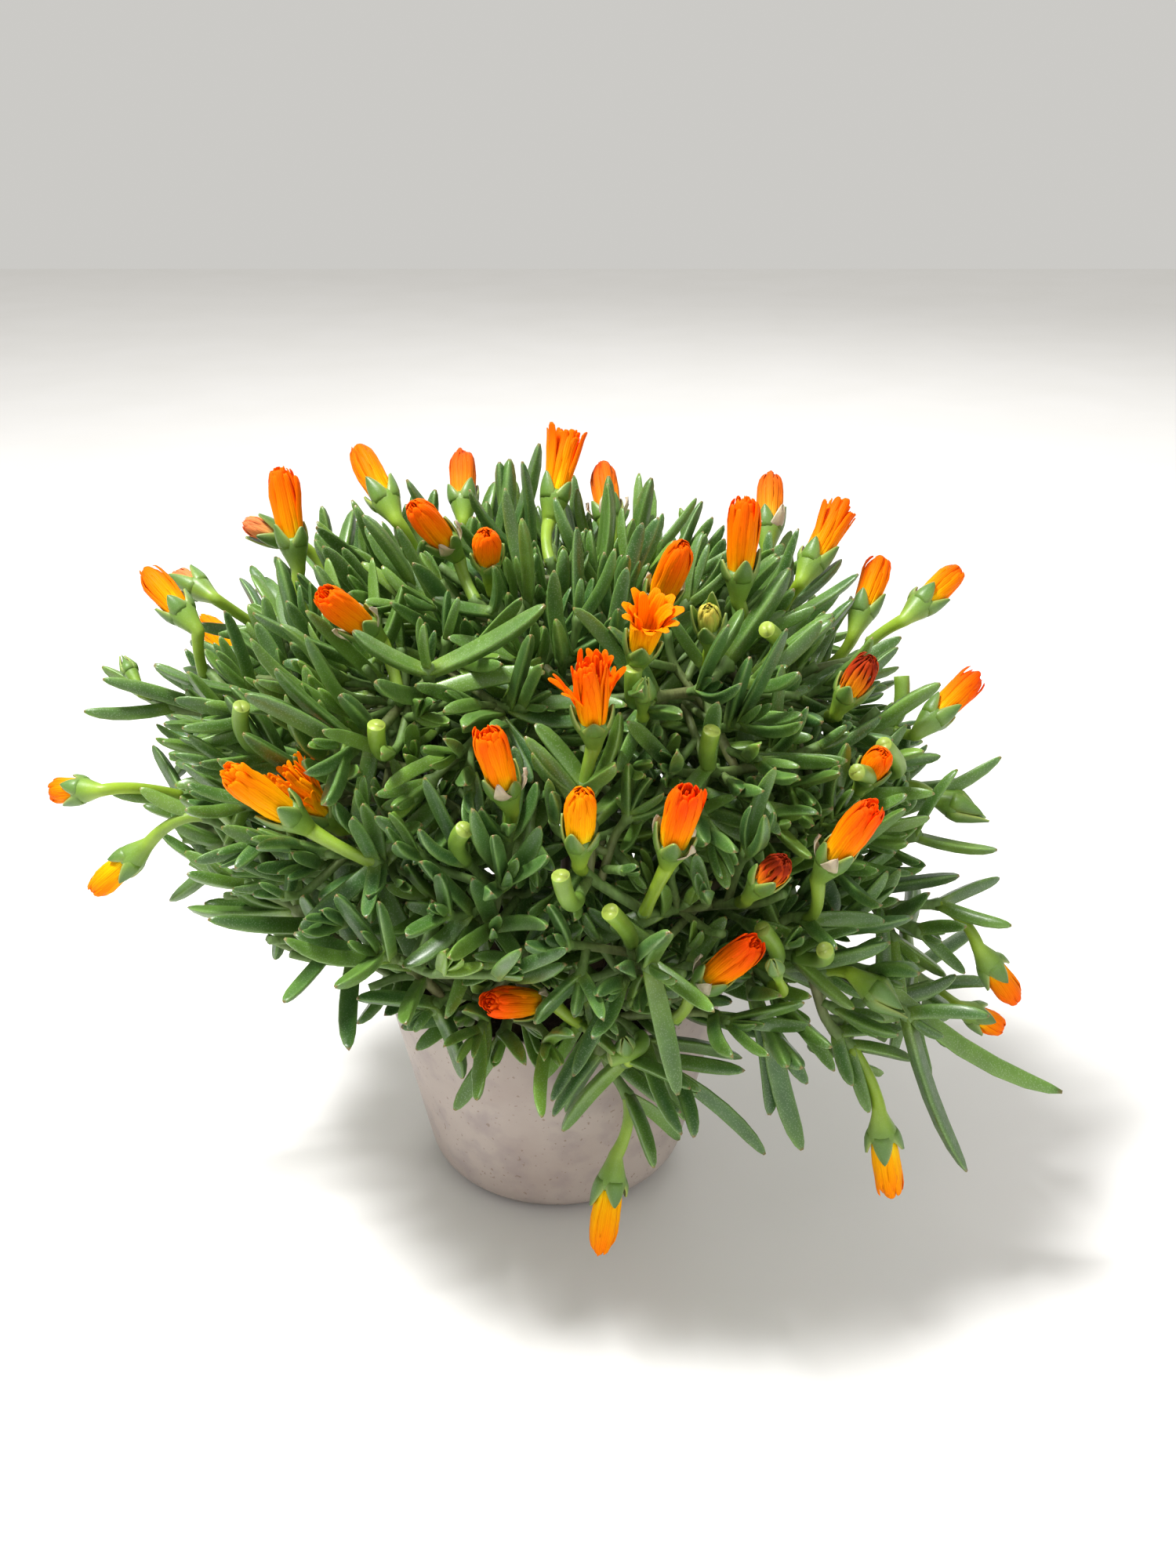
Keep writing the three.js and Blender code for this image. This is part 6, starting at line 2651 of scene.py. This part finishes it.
def turned_rings(profile: Sequence[tuple[float, float]], sides: int) -> np.ndarray:
    """Turns an outline of radii and heights round the upright axis.

    Args:
        profile: the outline.
        sides: how many points each ring has.

    Returns:
        The points, as rings x sides x 3.
    """
    turn = np.linspace(0, 2 * math.pi, sides, endpoint=False)
    radii, heights = np.array(profile).T[..., None]
    return np.stack([radii * np.cos(turn), radii * np.sin(turn), heights + 0 * turn], -1)


@dataclass(frozen=True)
class PotBuilder:
    """Makes the pot with its drain holes."""

    sizes: PotSizes = POT
    sides: int = 96
    hole_sides: int = 24
    arc_steps: int = 14
    rim_steps: int = 6

    def _foot_arc(self, inset: float) -> np.ndarray:
        """Returns the rounding of the foot, at a depth inside the pot's outer face."""
        sizes = self.sizes
        turn = np.linspace(-math.pi / 2, -sizes.lean, self.arc_steps)
        middle = np.array([sizes.foot_flat, sizes.foot_rounding])
        return middle + (sizes.foot_rounding - inset) * np.stack([np.cos(turn), np.sin(turn)], -1)

    def _profile(self) -> np.ndarray:
        """Returns the outline from the base, up the outside, over the rim and down the inside."""
        half_wall = self.sizes.wall / 2
        middle = np.array([self.sizes.rim_radius - half_wall, self.sizes.height - half_wall])
        turn = np.linspace(0, math.pi, self.rim_steps)
        rim = middle + half_wall * np.stack([np.cos(turn), np.sin(turn)], -1)
        return np.concatenate([self._foot_arc(0), rim, self._foot_arc(self.sizes.wall)[::-1]])

    def build(self) -> None:
        """Makes the pot."""
        form = Form()
        rings = turned_rings(self._profile(), self.sides)
        form.loft(rings, np.zeros(rings.shape))
        pot = form.build("nursery_pot", PotFinish().make())
        for i in range(self.sizes.drain_holes):
            turn = 2 * math.pi * (i + 0.5) / self.sizes.drain_holes
            self._drill(pot, self.sizes.drain_ring * vec(math.cos(turn), math.sin(turn), 0))
        stand_for(pot, "pot")

    def _drill(self, pot: bpy.types.Object, place: Vec) -> None:
        """Cuts one drain hole through the base.

        Args:
            pot: the pot.
            place: the middle of the hole.
        """
        bpy.ops.mesh.primitive_cylinder_add(
            vertices=self.hole_sides,
            radius=self.sizes.drain_radius * MM,
            depth=6 * self.sizes.wall * MM,
            location=tuple(place * MM),
        )
        drill = bpy.context.object
        modifier = pot.modifiers.new("drain", "BOOLEAN")
        modifier.operation = "DIFFERENCE"
        modifier.solver = "EXACT"
        modifier.object = drill
        bpy.context.view_layer.objects.active = pot
        bpy.ops.object.modifier_apply(modifier=modifier.name)
        bpy.data.objects.remove(drill)


@dataclass(frozen=True)
class SoilBuilder:
    """Makes the soil's rough top, its plug, and crumbs on it."""

    sizes: PotSizes = POT
    sides: int = 64
    rings: int = 22
    roughness: float = 0.9
    tones: tuple[float, float] = (0, 0.7)
    crumbs: int = 420
    crumb_sides: int = 6
    crumb_sizes: tuple[float, float] = (0.5, 1.9)
    crumb_profile: tuple[tuple[float, float], ...] = ((-0.6, 0.6), (0, 1), (0.5, 0.7))
    crumb_raggedness: tuple[float, float] = (0.6, 1.2)
    crumb_lift: float = 0.2
    edge_margin: float = 2
    rng: np.random.Generator = field(default_factory=lambda: np.random.default_rng(5))

    def _height(self, radius: float) -> float:
        """Returns the height of the soil's top at a radius."""
        reach = self.sizes.radius_at(self.sizes.soil_edge) - self.sizes.wall - self.sizes.gap
        return between(self.sizes.soil_crown, self.sizes.soil_edge, (radius / reach) ** 3)

    def build(self) -> None:
        """Makes the soil as one piece."""
        sizes = self.sizes
        form = Form()
        inset = sizes.wall + sizes.gap
        edge = sizes.radius_at(sizes.soil_edge) - inset / math.cos(sizes.lean)
        below = [
            (sizes.foot_flat, inset),
            (sizes.foot_radius - inset + self.edge_margin, sizes.foot_rounding),
            (edge, sizes.soil_edge),
        ]
        top = [(radius, self._height(radius)) for radius in np.linspace(edge, 0, self.rings + 1)[1:-1]]
        rings = turned_rings(below + top, self.sides)
        rings[len(below) :, :, 2] += self.rng.uniform(-1, 1, (len(top), self.sides)) * self.roughness
        tints = np.zeros(rings.shape)
        tints[..., 2] = self.rng.uniform(*self.tones, rings.shape[:2])
        form.loft(rings, tints)
        for _ in range(self.crumbs):
            self._add_crumb(form, edge)
        stand_for(form.build("potting_soil", SoilFinish().make()), "soil")

    def _add_crumb(self, form: Form, edge: float) -> None:
        """Adds one crumb somewhere on the soil.

        Args:
            form: the mesh that it goes into.
            edge: the radius of the soil's top.
        """
        radius = (edge - self.edge_margin) * math.sqrt(self.rng.random())
        turn = self.rng.uniform(0, 2 * math.pi)
        size = between(*self.crumb_sizes, self.rng.random() ** 3)
        height = self._height(radius) + self.crumb_lift * size
        rings = turned_rings([(wide, level) for level, wide in self.crumb_profile], self.crumb_sides)
        for ring in rings:
            ring[:, :2] *= self.rng.uniform(*self.crumb_raggedness, self.crumb_sides)[:, None]
        rings = vec(radius * math.cos(turn), radius * math.sin(turn), height) + rings * size
        tints = np.zeros(rings.shape)
        tints[..., 2] = self.rng.random() ** 2
        form.loft(rings, tints)


@dataclass(frozen=True)
class Lamp:
    """A square area lamp that points at the plant, in metres and watts."""

    name: str
    place: tuple[float, float, float]
    size: float
    power: float

    def build(self, aim: Vec) -> None:
        """Hangs the lamp.

        Args:
            aim: the point that it is turned towards.
        """
        light = bpy.data.lights.new(self.name, "AREA")
        light.size = self.size
        light.energy = self.power
        obj = bpy.data.objects.new(self.name, light)
        bpy.context.scene.collection.objects.link(obj)
        way = aim - np.array(self.place)
        yaw = math.atan2(way[1], way[0])
        pitch = math.atan2(-way[2], math.hypot(way[0], way[1]))
        obj.location = self.place
        obj.rotation_euler = (math.pi / 2 - pitch, 0, yaw - math.pi / 2)


@dataclass(frozen=True)
class Studio:
    """The plain pale floor, the soft light and the camera at the photograph's viewing angle."""

    lamps: tuple[Lamp, ...] = (
        Lamp("key", (-0.42, -0.12, 1.2), 0.26, 23),
        Lamp("fill", (0.5, -1.1, 0.6), 1.2, 4),
        Lamp("back", (0.3, 1.1, 0.9), 0.8, 4),
    )
    lamp_aim: tuple[float, float, float] = (0, 0, 0.12)
    sky: Colour = (1.0, 0.985, 0.945)
    sky_strength: float = 0.6
    floor_size: float = 4.0
    floor_colours: tuple[Colour, Colour] = ((0.8, 0.79, 0.77), (0.82, 0.81, 0.795))
    floor_cloud: float = 90
    floor_roughness: float = 0.9
    sensor: float = 36.0
    nearest: float = 0.01

    def build(self) -> None:
        """Makes the stage round the plant."""
        self._add_floor()
        self._add_world()
        for lamp in self.lamps:
            lamp.build(vec(*self.lamp_aim))
        self._add_camera()
        bpy.context.scene.view_settings.view_transform = "Standard"

    def _add_floor(self) -> None:
        """Lays the floor, with a faint unevenness in its colour."""
        half = self.floor_size / 2
        mesh = bpy.data.meshes.new("floor")
        corners = [(-half, -half, 0), (half, -half, 0), (half, half, 0), (-half, half, 0)]
        mesh.from_pydata(corners, [], [(0, 1, 2, 3)])
        floor = bpy.data.objects.new("floor", mesh)
        bpy.context.scene.collection.objects.link(floor)
        material = bpy.data.materials.new("floor")
        material.use_nodes = True
        shader = material.node_tree.nodes["Principled BSDF"]
        shader.inputs["Roughness"].default_value = self.floor_roughness
        graph = Graph(material.node_tree)
        cloud = graph.span(graph.noise(self.floor_cloud), 0.3, 0.7)
        graph.join(graph.mix(cloud, *self.floor_colours), shader.inputs["Base Color"])
        mesh.materials.append(material)

    def _add_world(self) -> None:
        """Lights the scene evenly from all round."""
        world = bpy.data.worlds.new("studio")
        world.use_nodes = True
        back = world.node_tree.nodes["Background"]
        back.inputs["Color"].default_value = (*self.sky, 1)
        back.inputs["Strength"].default_value = self.sky_strength
        bpy.context.scene.world = world

    def _add_camera(self) -> None:
        """Stands the camera where the photograph was taken from."""
        camera = bpy.data.cameras.new("camera")
        camera.sensor_width = self.sensor
        camera.lens = self.sensor * VIEW.focal / VIEW.frame_height
        camera.clip_start = self.nearest
        obj = bpy.data.objects.new("camera", camera)
        obj.location = tuple(value * MM for value in VIEW.eye)
        obj.rotation_euler = (math.pi / 2 - VIEW.pitch, 0, 0)
        bpy.context.scene.collection.objects.link(obj)
        bpy.context.scene.camera = obj


def main() -> None:
    """Builds the plant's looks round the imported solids."""
    logging.basicConfig(level=logging.INFO, format="%(message)s")
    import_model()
    Studio().build()
    plant = Plant()
    PlantBuilder(plant).build()
    PotBuilder().build()
    SoilBuilder().build()
    leaves = 2 * sum(len(one.pairs) + len(one.more) for one in plant.shoots + plant.side_shoots)
    log.info("%d shoots, %d leaves", len(plant.shoots) + len(plant.side_shoots), leaves)


if __name__ == "__main__":
    main()
